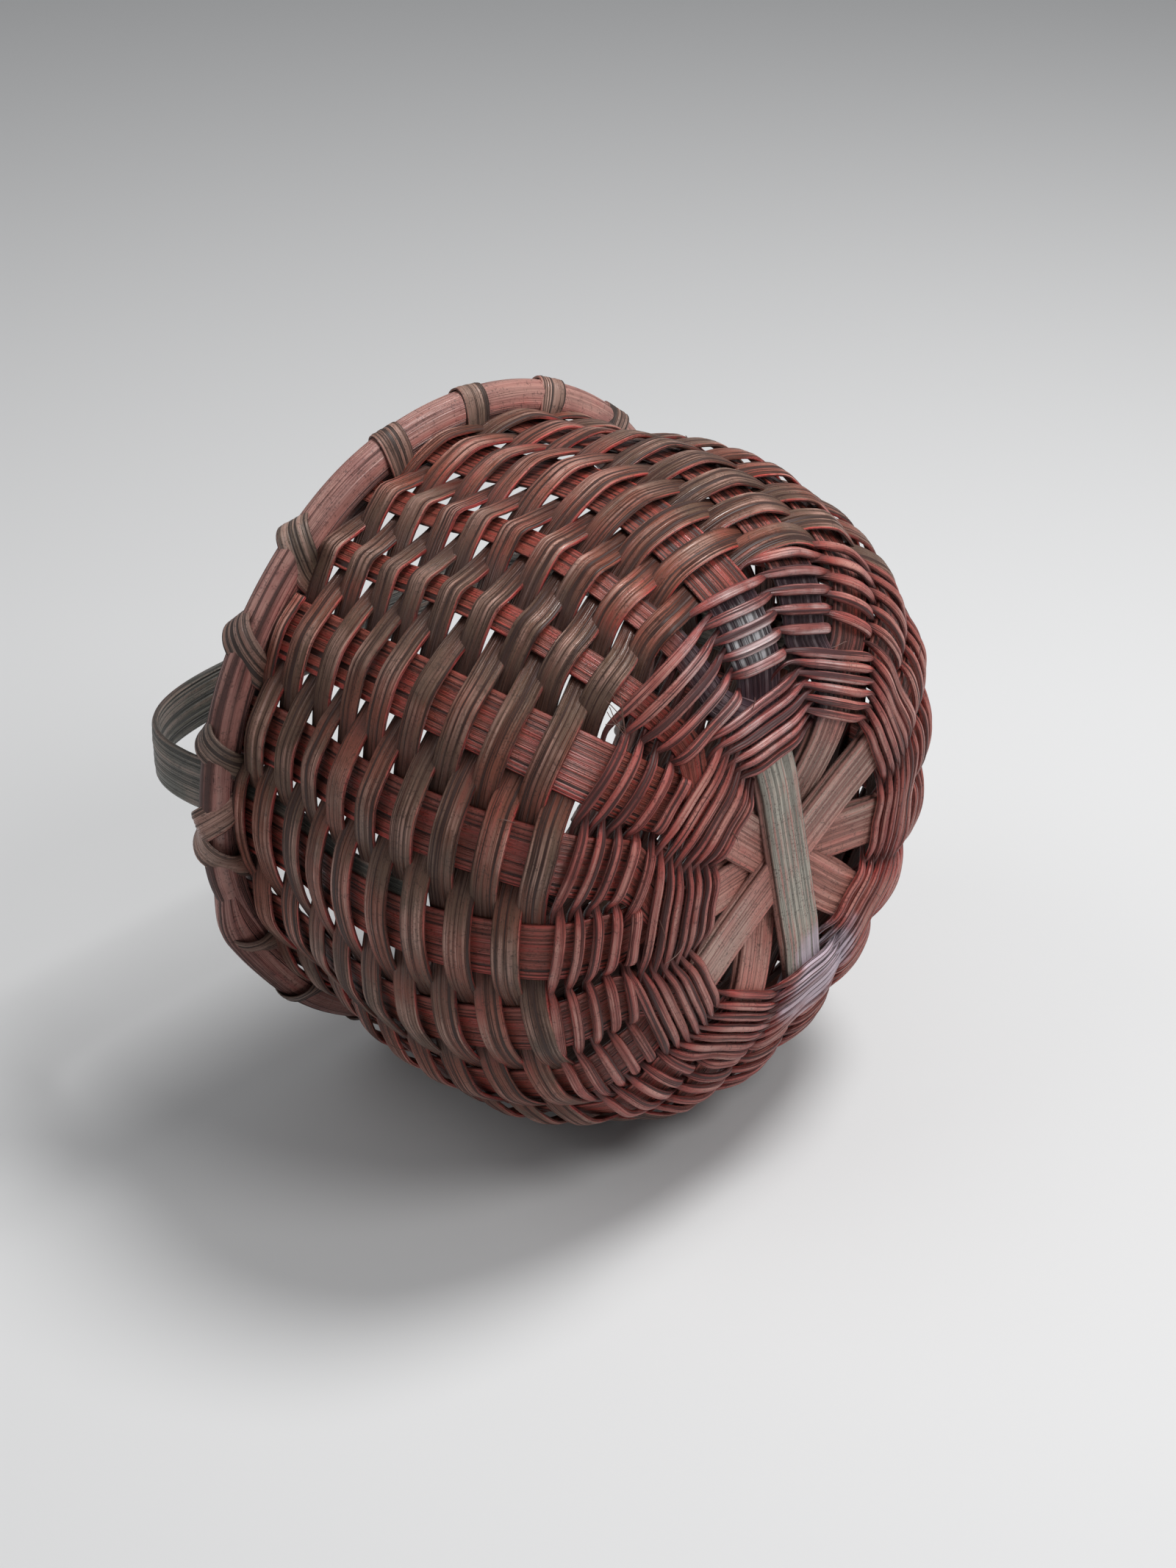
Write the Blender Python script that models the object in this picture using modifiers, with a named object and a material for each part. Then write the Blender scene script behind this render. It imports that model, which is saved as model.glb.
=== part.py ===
"""Round splint basket with a fixed strap handle, woven on flat reed stakes.

The wall is drawn once, as the outline of its outer face. Every strip is placed by
an azimuth round the basket, a distance along that outline and a depth below it.
"""
from bisect import bisect_right
from math import atan2, ceil, cos, degrees, hypot, pi, radians, sin

import bpy
from mathutils import Vector

MM = 0.001

# Clearance between neighbouring pieces
GAP = 0.3 * MM
PAIR_GAP = 0.6 * MM

# Outline of the wall's outer face, from the ring that it stands on to the rim
FOOT_RADIUS = 40.2 * MM
HEEL_RADIUS, HEEL_HEIGHT = 58.0 * MM, 6.1 * MM
TURN_RADIUS, TURN_HEIGHT = 75.3 * MM, 14.7 * MM
LOWER_WALL_RADIUS, LOWER_WALL_HEIGHT = 83.7 * MM, 27.0 * MM
BELLY_RADIUS, BELLY_HEIGHT = 91.2 * MM, 46.6 * MM
UPPER_BELLY_RADIUS, UPPER_BELLY_HEIGHT = 92.0 * MM, 71.1 * MM
SHOULDER_RADIUS, SHOULDER_HEIGHT = 87.2 * MM, 98.0 * MM
MOUTH_RADIUS = 86.8 * MM
RIM_HEIGHT = 125.0 * MM

# Flat reeds: each is a spoke across the base and a stake at both ends
REED_WIDTH = 15.9 * MM
SPLIT_REED_WIDTH = 7.95 * MM
REED_THICKNESS = 1.1 * MM
SPOKES = 5
STAKES = 4 * SPOKES
SPLIT_AZIMUTH = 238.7
SPOKE_AZIMUTH = 254.9
FAN_START = 6.0 * MM
FAN_END = 18.0 * MM
LEVEL_START = 16.8 * MM
STAKE_START = -6.7 * MM
STAKE_TURN = 23.0 * MM
STAKE_STEP = 2.9 * MM
STAKE_GROWTH = 1.05
STAKE_TOP_INSET = 0.6 * MM

# Crossing of the spokes: the layer of each pair from the outside, at two radii
OUTER_LAYERS = (0, 2, 1, 2, 1)
INNER_LAYERS = (0, 4, 1, 3, 2)
KNEE_SHARES = (0.5, 0.5, 0.5, 1.0, 0.0)

# Twining strands over the pairs of reeds on the base
RING_STRAND_WIDTH = 0.8 * MM
RING_PITCH = 2.36 * MM
RING_START = -4.5 * MM
RING_ROWS = 7

# Twining strands over the single stakes at the foot of the wall
FOOT_STRAND_WIDTH = 1.2 * MM
FOOT_PITCH = 3.5 * MM
FOOT_START = 19.8 * MM
FOOT_ROWS = 5
STRAND_THICKNESS = 1.2 * MM

# Wall weavers: two flat-oval strips that chase each other up the wall
WEAVER_WIDTH = 5.4 * MM
WEAVER_THICKNESS = 2.0 * MM
WEAVER_SLACK = 0.15 * MM
WEAVER_PITCH = 6.0 * MM
WEAVER_START = 40.0 * MM
WEAVER_SPANS = ((19, 164), (34, 165))
CLIMB_AZIMUTH = 215.3
CLIMB_SPAN = 36.0
CLIMB_SHARE = 0.43

# Rim hoops, on both sides of the stakes' ends
HOOP_HEIGHT = 9.0 * MM
OUTER_HOOP_THICKNESS = 8.51 * MM
INNER_HOOP_THICKNESS = 3.2 * MM
HOOP_STEPS = 60
HOOP_FACETS = 6
MERGE_DISTANCE = 0.01 * MM

# Lashing strip that binds the two hoops
LASH_WIDTH = 5.8 * MM
LASH_THICKNESS = 0.8 * MM
LASH_SLACK = 0.2 * MM
LASH_TURN = 2.4 * MM

# Handle strap, held between the stakes and the inner hoop
HANDLE_WIDTH = 15.9 * MM
HANDLE_THICKNESS = 1.2 * MM
HANDLE_RISE = 46.0 * MM
HANDLE_SQUARENESS = 4.0
HANDLE_SHIFT = 4.5 * MM
HANDLE_TAIL = 73.0 * MM
HANDLE_TAIL_STEP = 9.0 * MM
HANDLE_STAKES = (6, 16)
HANDLE_STEPS = 32

# A strip leaves a post this far past its edge
EDGE_MARGIN = 0.9 * MM
OUTLINE_STEPS = 24
SLOPE_REACH = 1.5 * MM

# Depths of the layers below the wall's outer face
PAIR_HALF = REED_THICKNESS + PAIR_GAP / 2
REED_DEPTH = STRAND_THICKNESS + GAP + PAIR_HALF
STAKE_FRONT = REED_DEPTH - REED_THICKNESS / 2
STAKE_BACK = REED_DEPTH + REED_THICKNESS / 2
HANDLE_DEPTH = STAKE_BACK + GAP + HANDLE_THICKNESS / 2
HANDLE_BACK = HANDLE_DEPTH + HANDLE_THICKNESS / 2
LAYER_RISE = 2 * PAIR_HALF + GAP
HOOP_BASE = RIM_HEIGHT - HOOP_HEIGHT

# Finishes: base colour, roughness
REED_RED = ((0.190, 0.070, 0.058), 0.62)
REED_PINK = ((0.290, 0.130, 0.110), 0.66)
REED_GREY = ((0.205, 0.200, 0.190), 0.66)
WEAVER_BROWN = ((0.095, 0.055, 0.045), 0.50)
WEAVER_OLIVE = ((0.080, 0.062, 0.048), 0.50)
STRAND_MAROON = ((0.125, 0.062, 0.055), 0.52)
HOOP_BROWN = ((0.150, 0.090, 0.085), 0.55)
LASH_OLIVE = ((0.135, 0.105, 0.088), 0.58)
HANDLE_GREY = ((0.120, 0.112, 0.095), 0.62)


def clear_scene():
    for thing in list(bpy.data.objects):
        bpy.data.objects.remove(thing, do_unlink=True)


def smooth(value):
    value = min(max(value, 0.0), 1.0)
    return value * value * (3 - 2 * value)


def mix(start, end, share):
    return start + (end - start) * share


def outline_points():
    """The wall's corner points, as (radius, height)."""
    return [(FOOT_RADIUS, 0.0), (HEEL_RADIUS, HEEL_HEIGHT), (TURN_RADIUS, TURN_HEIGHT),
            (LOWER_WALL_RADIUS, LOWER_WALL_HEIGHT), (BELLY_RADIUS, BELLY_HEIGHT),
            (UPPER_BELLY_RADIUS, UPPER_BELLY_HEIGHT), (SHOULDER_RADIUS, SHOULDER_HEIGHT),
            (MOUTH_RADIUS, HOOP_BASE), (MOUTH_RADIUS, RIM_HEIGHT)]


def smooth_curve(points, first_direction):
    """A smooth curve through points, as (length so far, point) samples."""
    points = [Vector(point) for point in points]
    spans = [(b - a).length for a, b in zip(points, points[1:])]
    slopes = [Vector(first_direction)]
    for before, here, after, left, right in zip(points, points[1:], points[2:], spans, spans[1:]):
        slope = (here - before) / left * right + (after - here) / right * left
        slopes.append(slope / (left + right))
    slopes.append((points[-1] - points[-2]) / spans[-1])
    samples = [(0.0, points[0])]
    for index, span in enumerate(spans):
        for step in range(1, OUTLINE_STEPS + 1):
            t = step / OUTLINE_STEPS
            spot = (points[index] * (2 * t ** 3 - 3 * t ** 2 + 1)
                    + slopes[index] * span * (t ** 3 - 2 * t ** 2 + t)
                    + points[index + 1] * (3 * t ** 2 - 2 * t ** 3)
                    + slopes[index + 1] * span * (t ** 3 - t ** 2))
            samples.append((samples[-1][0] + (spot - samples[-1][1]).length, spot))
    return samples


OUTLINE = smooth_curve(outline_points(), (1.0, 0.0))
OUTLINE_LENGTHS = [length for length, spot in OUTLINE]
WALL_LENGTH = OUTLINE_LENGTHS[-1]


def outline_at(arc):
    """The outer face's (radius, height) at a length from the foot, flat inside it."""
    if arc <= 0:
        return Vector((FOOT_RADIUS + arc, 0.0))
    index = min(bisect_right(OUTLINE_LENGTHS, arc), len(OUTLINE) - 1)
    (start, low), (end, high) = OUTLINE[index - 1], OUTLINE[index]
    return low.lerp(high, (arc - start) / (end - start))


def outline_direction(arc):
    """The unit vector up the outline, across a short stretch of it."""
    above = outline_at(min(arc + SLOPE_REACH, WALL_LENGTH))
    return (above - outline_at(arc - SLOPE_REACH)).normalized()


def arc_at_height(height):
    """The length along the outline at which the wall reaches a height."""
    for (start, low), (end, high) in zip(OUTLINE, OUTLINE[1:]):
        if high.y >= height:
            return mix(start, end, (height - low.y) / (high.y - low.y))
    return WALL_LENGTH


def place(azimuth, lateral, radius, height):
    """A point from an azimuth in degrees, a shift along the tangent, a radius and a height."""
    turn = radians(azimuth)
    return Vector((radius * cos(turn) - lateral * sin(turn),
                   radius * sin(turn) + lateral * cos(turn), height))


def wall_point(azimuth, lateral, arc, depth):
    spot, along = outline_at(arc), outline_direction(arc)
    return place(azimuth, lateral, spot.x - along.y * depth, spot.y + along.x * depth)


def wall_up(azimuth, arc):
    """The unit vector that runs up the wall."""
    along = outline_direction(arc)
    return place(azimuth, 0.0, along.x, along.y)


def tangent(azimuth):
    return place(azimuth, 1.0, 0.0, 0.0)


def material(name, finish):
    colour, roughness = finish
    made = bpy.data.materials.new(name)
    made.use_nodes = True
    shader = made.node_tree.nodes["Principled BSDF"]
    shader.inputs["Base Color"].default_value = (*colour, 1.0)
    shader.inputs["Roughness"].default_value = roughness
    shader.inputs["Metallic"].default_value = 0.0
    made.diffuse_color = (*colour, 1.0)
    return made


def ribbon(name, centres, halves, thickness, finish, collection):
    """A flat strip along centres, halves reaching from each centre to one edge."""
    corners = []
    for centre, half in zip(centres, halves):
        corners += [centre - half, centre + half]
    faces = [(2 * k, 2 * k + 2, 2 * k + 3, 2 * k + 1) for k in range(len(centres) - 1)]
    mesh = bpy.data.meshes.new(name)
    mesh.from_pydata(corners, [], faces)
    mesh.materials.append(material(name, finish))
    strip = bpy.data.objects.new(name, mesh)
    collection.objects.link(strip)
    thicken = strip.modifiers.new("Thickness", "SOLIDIFY")
    thicken.thickness = thickness
    thicken.offset = 0.0
    thicken.use_even_offset = True
    return strip


def stake_width(stake):
    return SPLIT_REED_WIDTH if stake in (0, STAKES - 1) else REED_WIDTH


def stake_azimuths():
    """Azimuths of the stakes, with equal gaps between their edges at the belly."""
    radius = BELLY_RADIUS - REED_DEPTH
    widths = [degrees(stake_width(stake) / radius) for stake in range(STAKES)]
    gap = (360 - sum(widths)) / STAKES
    azimuths = [SPLIT_AZIMUTH + (gap + widths[0]) / 2]
    for before, after in zip(widths, widths[1:]):
        azimuths.append(azimuths[-1] + (before + after) / 2 + gap)
    return azimuths


AZIMUTHS = stake_azimuths()


def end_azimuth(end):
    """Azimuth of one of the spokes' ends, which carries stakes 2 end and 2 end + 1."""
    return SPOKE_AZIMUTH + end * 180 / SPOKES


def fan_share(arc):
    return smooth((arc - FAN_START) / (FAN_END - FAN_START))


def reed_azimuth(stake, arc):
    return mix(end_azimuth(stake // 2), AZIMUTHS[stake], fan_share(arc))


def reed_width(stake, arc):
    return mix(REED_WIDTH, stake_width(stake), min(max(arc / FAN_END, 0.0), 1.0))


def reed_side(stake):
    """1 for the pair's inner reed, -1 for its outer one."""
    inner_end = stake // 2 < SPOKES
    return 1 if (stake % 2 == 1) == inner_end else -1


def reed_depth(stake, arc):
    """Depth of a reed's middle: stacked under the ring rows, level on the wall."""
    level = smooth((arc - LEVEL_START) / (FAN_END - LEVEL_START))
    stacked = (REED_THICKNESS + PAIR_GAP) / 2 * (1 - level)
    return REED_DEPTH + reed_side(stake) * stacked


def crossing_profile(spoke):
    """Half of a spoke pair's middle line, as (distance from the centre, height)."""
    outer = REED_DEPTH + LAYER_RISE * OUTER_LAYERS[spoke]
    inner = REED_DEPTH + LAYER_RISE * INNER_LAYERS[spoke]
    half = REED_WIDTH / 2 + GAP
    near = half / sin(radians(180 / SPOKES))
    far = half / sin(radians(90 / SPOKES))
    knee = (near + far) / 2
    knee_height = mix(outer, inner, KNEE_SHARES[spoke])
    return [(0.0, inner), (near, inner), (knee, knee_height), (far, outer),
            (FOOT_RADIUS + STAKE_START, REED_DEPTH)]


def offset_profile(profile, distance):
    """The profile moved sideways towards greater heights, with mitred corners and flat ends."""
    flat = Vector((0.0, 1.0))
    corners = [Vector(point) for point in profile]
    steps = [(after - before).normalized() for before, after in zip(corners, corners[1:])]
    normals = [flat] + [Vector((-step.y, step.x)) for step in steps] + [flat]
    return [corner + (left + right) * distance / (1 + left.dot(right))
            for corner, left, right in zip(corners, normals, normals[1:])]


def stake_arcs():
    """Lengths at which a stake has points, closer where the wall turns."""
    top = WALL_LENGTH - STAKE_TOP_INSET
    fine = ceil((STAKE_TURN - STAKE_START) / STAKE_STEP)
    arcs = [mix(STAKE_START, STAKE_TURN, k / fine) for k in range(1, fine + 1)]
    step = STAKE_STEP
    while arcs[-1] < top:
        step *= STAKE_GROWTH
        arcs.append(min(arcs[-1] + step, top))
    return arcs


def reed(spoke, layer, collection):
    """One reed, from the rim down a stake, across the base and up to the rim."""
    first = 2 * spoke + (1 if layer > 0 else 0)
    last = 2 * (spoke + SPOKES) + (0 if layer > 0 else 1)
    centres, halves = [], []
    for stake, outwards in ((first, False), (last, True)):
        arcs = stake_arcs()
        turns = [reed_azimuth(stake, arc) for arc in arcs]
        points = [wall_point(turn, 0.0, arc, reed_depth(stake, arc)) for turn, arc in zip(turns, arcs)]
        sides = [tangent(turn) * reed_width(stake, arc) / 2 for turn, arc in zip(turns, arcs)]
        profile = offset_profile(crossing_profile(spoke), layer * (REED_THICKNESS + PAIR_GAP) / 2)
        azimuth = end_azimuth(stake // 2)
        inner = profile if outwards else profile[1:]
        points = [place(azimuth, 0.0, x, z) for x, z in inner] + points
        sides = [tangent(azimuth) * REED_WIDTH / 2 for spot in inner] + sides
        if outwards:
            centres += points
            halves += sides
        else:
            centres += points[::-1]
            halves += [-side for side in sides[::-1]]
    finish = REED_GREY if spoke == 0 else REED_PINK if layer < 0 else REED_RED
    side = "outer" if layer < 0 else "inner"
    return ribbon(f"reed_{spoke + 1}_{side}", centres, halves, REED_THICKNESS, finish, collection)


def pair_post(end, arc):
    """The edges that a strand passes at a spoke's end: (stake, lateral) on both sides."""
    left, right = 2 * end, 2 * end + 1
    return ((reed_azimuth(left, arc), -reed_width(left, arc) / 2),
            (reed_azimuth(right, arc), reed_width(right, arc) / 2))


def stake_post(number, arc):
    """The edges of one stake, or of the two split stakes, which count as one."""
    left = number or STAKES - 1
    turned = 0 if number else 360
    return ((reed_azimuth(left, arc) - turned, -reed_width(left, arc) / 2),
            (reed_azimuth(number, arc), reed_width(number, arc) / 2))


def bow(edges, arc, radius):
    """How far a straight strand over two flat reeds must stand off to clear them."""
    (left, left_edge), (right, right_edge) = edges
    half = (radians(right - left) * radius + right_edge - left_edge) / 2
    flat = (right_edge - left_edge) / 2
    return (half * half - flat * flat) / (2 * radius) * outline_direction(arc).y


def twining(name, strand, posts, edges_of, rows, start, pitch, width, half_post, finish, collection):
    """One of two strands that cross in every gap, outside one post and inside the next."""
    step = (width + GAP) / 2
    first = posts[0]
    centres, halves = [], []
    for number in range(rows * len(posts)):
        post = posts[number % len(posts)]
        turned = edges_azimuth(edges_of, post) - edges_azimuth(edges_of, first)
        row = start + pitch * (number // len(posts) + turned / 360)
        outside = (number + strand) % 2 == 0
        edges = edges_of(post, row)
        radius = outline_at(row).x
        clear = half_post + GAP + STRAND_THICKNESS / 2
        depth = REED_DEPTH - clear - bow(edges, row, radius) if outside else REED_DEPTH + clear
        for (azimuth, edge), way in zip(edges, (-1, 1)):
            arc = row - way * step * (1 if outside else -1)
            centres.append(wall_point(azimuth, edge + way * EDGE_MARGIN, arc, depth))
            halves.append(wall_up(azimuth, arc) * width / 2)
    return ribbon(name, centres, halves, STRAND_THICKNESS, finish, collection)


def edges_azimuth(edges_of, post):
    """Azimuth halfway between a post's two edges."""
    return sum(azimuth for azimuth, edge in edges_of(post, FAN_END)) / 2


def climb(azimuth):
    """Height gained by a weaver up to a running azimuth, quicker in one stretch of each turn."""
    turns = (azimuth - CLIMB_AZIMUTH) / 360
    whole = turns // 1
    stretch = smooth((turns - whole) * 360 / CLIMB_SPAN)
    return 2 * WEAVER_PITCH * ((1 - CLIMB_SHARE) * turns + CLIMB_SHARE * (whole + stretch))


def strap_here(stake, arc):
    return stake in HANDLE_STAKES and arc > HANDLE_TAIL - WEAVER_WIDTH


def weaver(name, strip, first, count, finish, collection):
    """A weaver that starts at stake first and passes count stakes, over every other one."""
    origin = climb(AZIMUTHS[STAKES - 1])
    centres, halves = [], []
    for number in range(first, first + count):
        stake = number % STAKES
        azimuth = AZIMUTHS[stake]
        running = azimuth + 360 * (number // STAKES)
        arc = WEAVER_START + climb(running) - origin - WEAVER_PITCH * strip
        outside = (stake + strip) % 2 == 0
        strap = strap_here(stake, arc)
        half = WEAVER_THICKNESS / 2 + GAP + WEAVER_SLACK
        depth = STAKE_FRONT - half if outside else (HANDLE_BACK if strap else STAKE_BACK) + half
        right = max(stake_width(stake) / 2, HANDLE_SHIFT + HANDLE_WIDTH / 2 if strap else 0.0)
        for lateral in (-stake_width(stake) / 2 - EDGE_MARGIN, right + EDGE_MARGIN):
            centres.append(wall_point(azimuth, lateral, arc, depth))
            halves.append(wall_up(azimuth, arc) * WEAVER_WIDTH / 2)
    return ribbon(name, centres, halves, WEAVER_THICKNESS, finish, collection)


def hoop(name, section, finish, collection):
    """A turned ring from a closed section of (radius, height) points."""
    mesh = bpy.data.meshes.new(name)
    edges = [(k, (k + 1) % len(section)) for k in range(len(section))]
    mesh.from_pydata([(radius, 0.0, height) for radius, height in section], edges, [])
    mesh.materials.append(material(name, finish))
    ring = bpy.data.objects.new(name, mesh)
    collection.objects.link(ring)
    screw = ring.modifiers.new("Turn", "SCREW")
    screw.steps = screw.render_steps = HOOP_STEPS
    screw.use_merge_vertices = True
    screw.merge_threshold = 0.01 * MM
    return ring


def hoop_back():
    """Radius of the outer hoop's flat back, which clears the stakes' corners."""
    return hypot(MOUTH_RADIUS - STAKE_FRONT, REED_WIDTH / 2) / cos(pi / HOOP_STEPS) + GAP


def outer_hoop_section():
    """A D with its flat back against the stakes, from the bottom outwards."""
    back = hoop_back()
    middle = HOOP_BASE + HOOP_HEIGHT / 2
    turns = [pi * k / HOOP_FACETS for k in range(HOOP_FACETS + 1)]
    return [(back + OUTER_HOOP_THICKNESS * sin(turn), middle + HOOP_HEIGHT / 2 * cos(turn))
            for turn in turns]


def inner_hoop_section():
    """A flat band with eased inner corners."""
    front = MOUTH_RADIUS - HANDLE_BACK - GAP
    back = front - INNER_HOOP_THICKNESS
    ease = INNER_HOOP_THICKNESS / 3
    return [(front, RIM_HEIGHT), (front, HOOP_BASE), (back + ease, HOOP_BASE),
            (back, HOOP_BASE + 2 * ease), (back, RIM_HEIGHT - 2 * ease), (back + ease, RIM_HEIGHT)]


def lash_gaps():
    """The free width between each stake and the next, at the mouth, as two azimuths."""
    radius = MOUTH_RADIUS - REED_DEPTH
    gaps = []
    for stake in range(STAKES - 1):
        right = stake_width(stake) / 2
        if stake in HANDLE_STAKES:
            right = HANDLE_SHIFT + HANDLE_WIDTH / 2
        gaps.append((AZIMUTHS[stake] + degrees(atan2(right, radius)),
                     AZIMUTHS[stake + 1] - degrees(atan2(stake_width(stake + 1) / 2, radius))))
    return gaps


def lash(collection):
    """One strip, wound over both hoops in each gap and on to the next along the inside."""
    away = GAP + LASH_THICKNESS / 2 + LASH_SLACK
    back = hoop_back()
    inside = MOUTH_RADIUS - HANDLE_BACK - GAP - INNER_HOOP_THICKNESS - away
    middle = HOOP_BASE + HOOP_HEIGHT / 2
    under, over = HOOP_BASE - away, RIM_HEIGHT + away
    swell = OUTER_HOOP_THICKNESS + away
    rise = HOOP_HEIGHT / 2 + away
    turns = [pi * k / HOOP_FACETS for k in range(1, HOOP_FACETS)]
    outside = [(back + swell * sin(turn), middle - rise * cos(turn)) for turn in turns]
    centres, halves = [], []
    gaps = [(start + end) / 2 for start, end in lash_gaps()]
    for index, azimuth in enumerate(gaps):
        section = ([(inside, under + LASH_TURN), (inside, under), (back, under)] + outside
                   + [(back, over), (inside, over), (inside, over - LASH_TURN)])
        for radius, height in section:
            centres.append(place(azimuth, 0.0, radius, height))
            halves.append(tangent(azimuth) * LASH_WIDTH / 2)
        if index + 1 < len(gaps):
            halfway = mix(azimuth, gaps[index + 1], 0.5)
            centres.append(place(halfway, 0.0, inside, middle))
            halves.append(tangent(halfway) * LASH_WIDTH / 2)
    return ribbon("rim_lashing", centres, halves, LASH_THICKNESS, LASH_OLIVE, collection)


def handle(collection):
    """A strap whose tails run down behind two stakes and whose arch stands over the mouth."""
    steps = ceil((WALL_LENGTH - HANDLE_TAIL) / HANDLE_TAIL_STEP)
    arcs = [mix(HANDLE_TAIL, WALL_LENGTH, k / steps) for k in range(steps + 1)]
    tails = [[wall_point(AZIMUTHS[stake], HANDLE_SHIFT, arc, HANDLE_DEPTH) for arc in arcs]
             for stake in HANDLE_STAKES]
    near, far = tails[0][-1], tails[1][-1]
    sides = [tangent(AZIMUTHS[stake]) * HANDLE_WIDTH / 2 for stake in HANDLE_STAKES]
    centres = list(tails[0])
    halves = [sides[0]] * len(tails[0])
    middle = (near + far) / 2
    bend = 2 / HANDLE_SQUARENESS
    for step in range(1, HANDLE_STEPS):
        turn = pi * step / HANDLE_STEPS
        across = abs(cos(turn)) ** bend * (1 if turn < pi / 2 else -1)
        rise = Vector((0, 0, HANDLE_RISE * sin(turn) ** bend))
        centres.append(middle + (near - middle) * across + rise)
        halves.append(sides[0].lerp(-sides[1], step / HANDLE_STEPS).normalized() * HANDLE_WIDTH / 2)
    centres += tails[1][::-1]
    halves += [-sides[1]] * len(tails[1])
    return ribbon("handle", centres, halves, HANDLE_THICKNESS, HANDLE_GREY, collection)


def main():
    clear_scene()
    basket = bpy.data.collections.new("round_basket")
    bpy.context.scene.collection.children.link(basket)
    for spoke in range(SPOKES):
        reed(spoke, -1, basket)
        reed(spoke, 1, basket)
    ends = list(range(2 * SPOKES))
    posts = list(range(STAKES - 1))
    for strand in range(2):
        twining(f"base_twining_{strand + 1}", strand, ends, pair_post, RING_ROWS, RING_START,
                RING_PITCH, RING_STRAND_WIDTH, PAIR_HALF, STRAND_MAROON, basket)
        twining(f"wall_twining_{strand + 1}", strand, posts, stake_post, FOOT_ROWS, FOOT_START,
                FOOT_PITCH, FOOT_STRAND_WIDTH, REED_THICKNESS / 2, STRAND_MAROON, basket)
    for strip, (span, finish) in enumerate(zip(WEAVER_SPANS, (WEAVER_BROWN, WEAVER_OLIVE))):
        weaver(f"wall_weaver_{strip + 1}", strip, *span, finish, basket)
    hoop("outer_rim_hoop", outer_hoop_section(), HOOP_BROWN, basket)
    hoop("inner_rim_hoop", inner_hoop_section(), HOOP_BROWN, basket)
    lash(basket)
    handle(basket)


main()
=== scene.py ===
"""Round splint basket lying on its side, with dyed reed strips that are ribbed, arched and frayed.

Every strip is a line of points with a width and a facing direction. The node tree called
Reed strip gives the line its section and its ribs.
"""

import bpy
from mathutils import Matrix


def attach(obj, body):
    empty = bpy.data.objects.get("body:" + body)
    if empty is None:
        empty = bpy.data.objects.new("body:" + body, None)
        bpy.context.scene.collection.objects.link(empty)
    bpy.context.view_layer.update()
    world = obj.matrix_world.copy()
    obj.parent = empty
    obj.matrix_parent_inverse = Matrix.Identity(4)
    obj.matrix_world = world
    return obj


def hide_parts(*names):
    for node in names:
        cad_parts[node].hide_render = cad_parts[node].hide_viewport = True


bl_info = {
    "name": "Round splint basket",
    "version": (1, 0, 0),
    "blender": (4, 5, 0),
    "location": "3D View > Sidebar > Basket",
    "description": "Weaves a round basket with a strap handle from dyed reed",
    "category": "Add Mesh",
}

from bisect import bisect_right
from math import cos, degrees, pi, radians, sin

import bpy
import numpy as np
from bpy.props import FloatProperty, FloatVectorProperty, PointerProperty
from mathutils import Matrix, Vector

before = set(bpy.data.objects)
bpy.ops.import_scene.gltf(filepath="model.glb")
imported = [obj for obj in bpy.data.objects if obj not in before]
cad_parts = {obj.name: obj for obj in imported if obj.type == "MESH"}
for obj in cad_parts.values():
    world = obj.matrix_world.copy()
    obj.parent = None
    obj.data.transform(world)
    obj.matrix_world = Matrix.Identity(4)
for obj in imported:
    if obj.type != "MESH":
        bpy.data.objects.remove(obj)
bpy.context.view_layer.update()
MM = 0.001

# Outline of the wall's outer face as radius and height in millimetres, its steps between two points,
# the flat lead-in before the first point and the reach over which a slope is taken
OUTLINE_MM = ((40.2, 0.0), (58.0, 6.1), (75.3, 14.7), (83.7, 27.0), (91.2, 46.6), (92.0, 71.1),
              (87.2, 98.0), (86.8, 116.0), (86.8, 125.0))
FOOT_RADIUS = OUTLINE_MM[0][0] * MM
RIM_TOP = OUTLINE_MM[-1][1] * MM
OUTLINE_STEPS = 24
LEAD_IN = 10 * MM
SLOPE_REACH = 1.5 * MM

# Flat reeds: each is a spoke across the base and a stake at both ends. A spoke's two reeds lie on each
# other and fan out at the wall's foot, where the two beside the split azimuth turn half as wide
SPOKES = 5
STAKES = 4 * SPOKES
SPLIT_AZIMUTH = 238.7
SPOKE_AZIMUTH = 254.9
SPACING_RADIUS = 88.3 * MM
REED_DEPTH = 2.9 * MM
REED_STEP = 4.0 * MM
REED_LEVEL, REED_SHIFT = 0.62 * MM, 0.5 * MM
STAKE_TOP_INSET = 1.0 * MM
FAN_START, FAN_END = 2.0 * MM, 20.0 * MM
PAIR_OFFSET = 0.85 * MM
PAIR_END, PAIR_TURN = 14.0 * MM, 6.0 * MM
SPOKE_SHARE = 0.84
SPOKE_END, SPOKE_GROWTH = -6.0 * MM, 26.0 * MM

# Crossing of the spokes: the layer of each pair from the outside, at two radii
OUTER_LAYERS = (0, 2, 1, 2, 1)
INNER_LAYERS = (0, 4, 1, 3, 2)
OUTER_LAYER_RISE, INNER_LAYER_RISE = 1.14 * MM, 1.425 * MM
CROSSING_DEPTH = 2.3 * MM
CROSSING_RADII = (9.0 * MM, 17.0 * MM, 25.5 * MM)

# First and last of the base ring's rows over each spoke end, as millimetres along the wall, and the
# first post of its twining and the one past the last, counted on round the base
RING_FIRST = (-6.6, -2.9, -2.5, -5.9, -9.3, -5.0, -5.4, -4.0, -10.5, -11.7)
RING_LAST = (14.5, 18.0, 19.5, 18.0, 17.0, 17.0, 17.0, 15.5, 11.0, 10.5)
RING_POSTS = (2, 70)
RING_STROKE_RISE = 0.93 * MM

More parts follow.
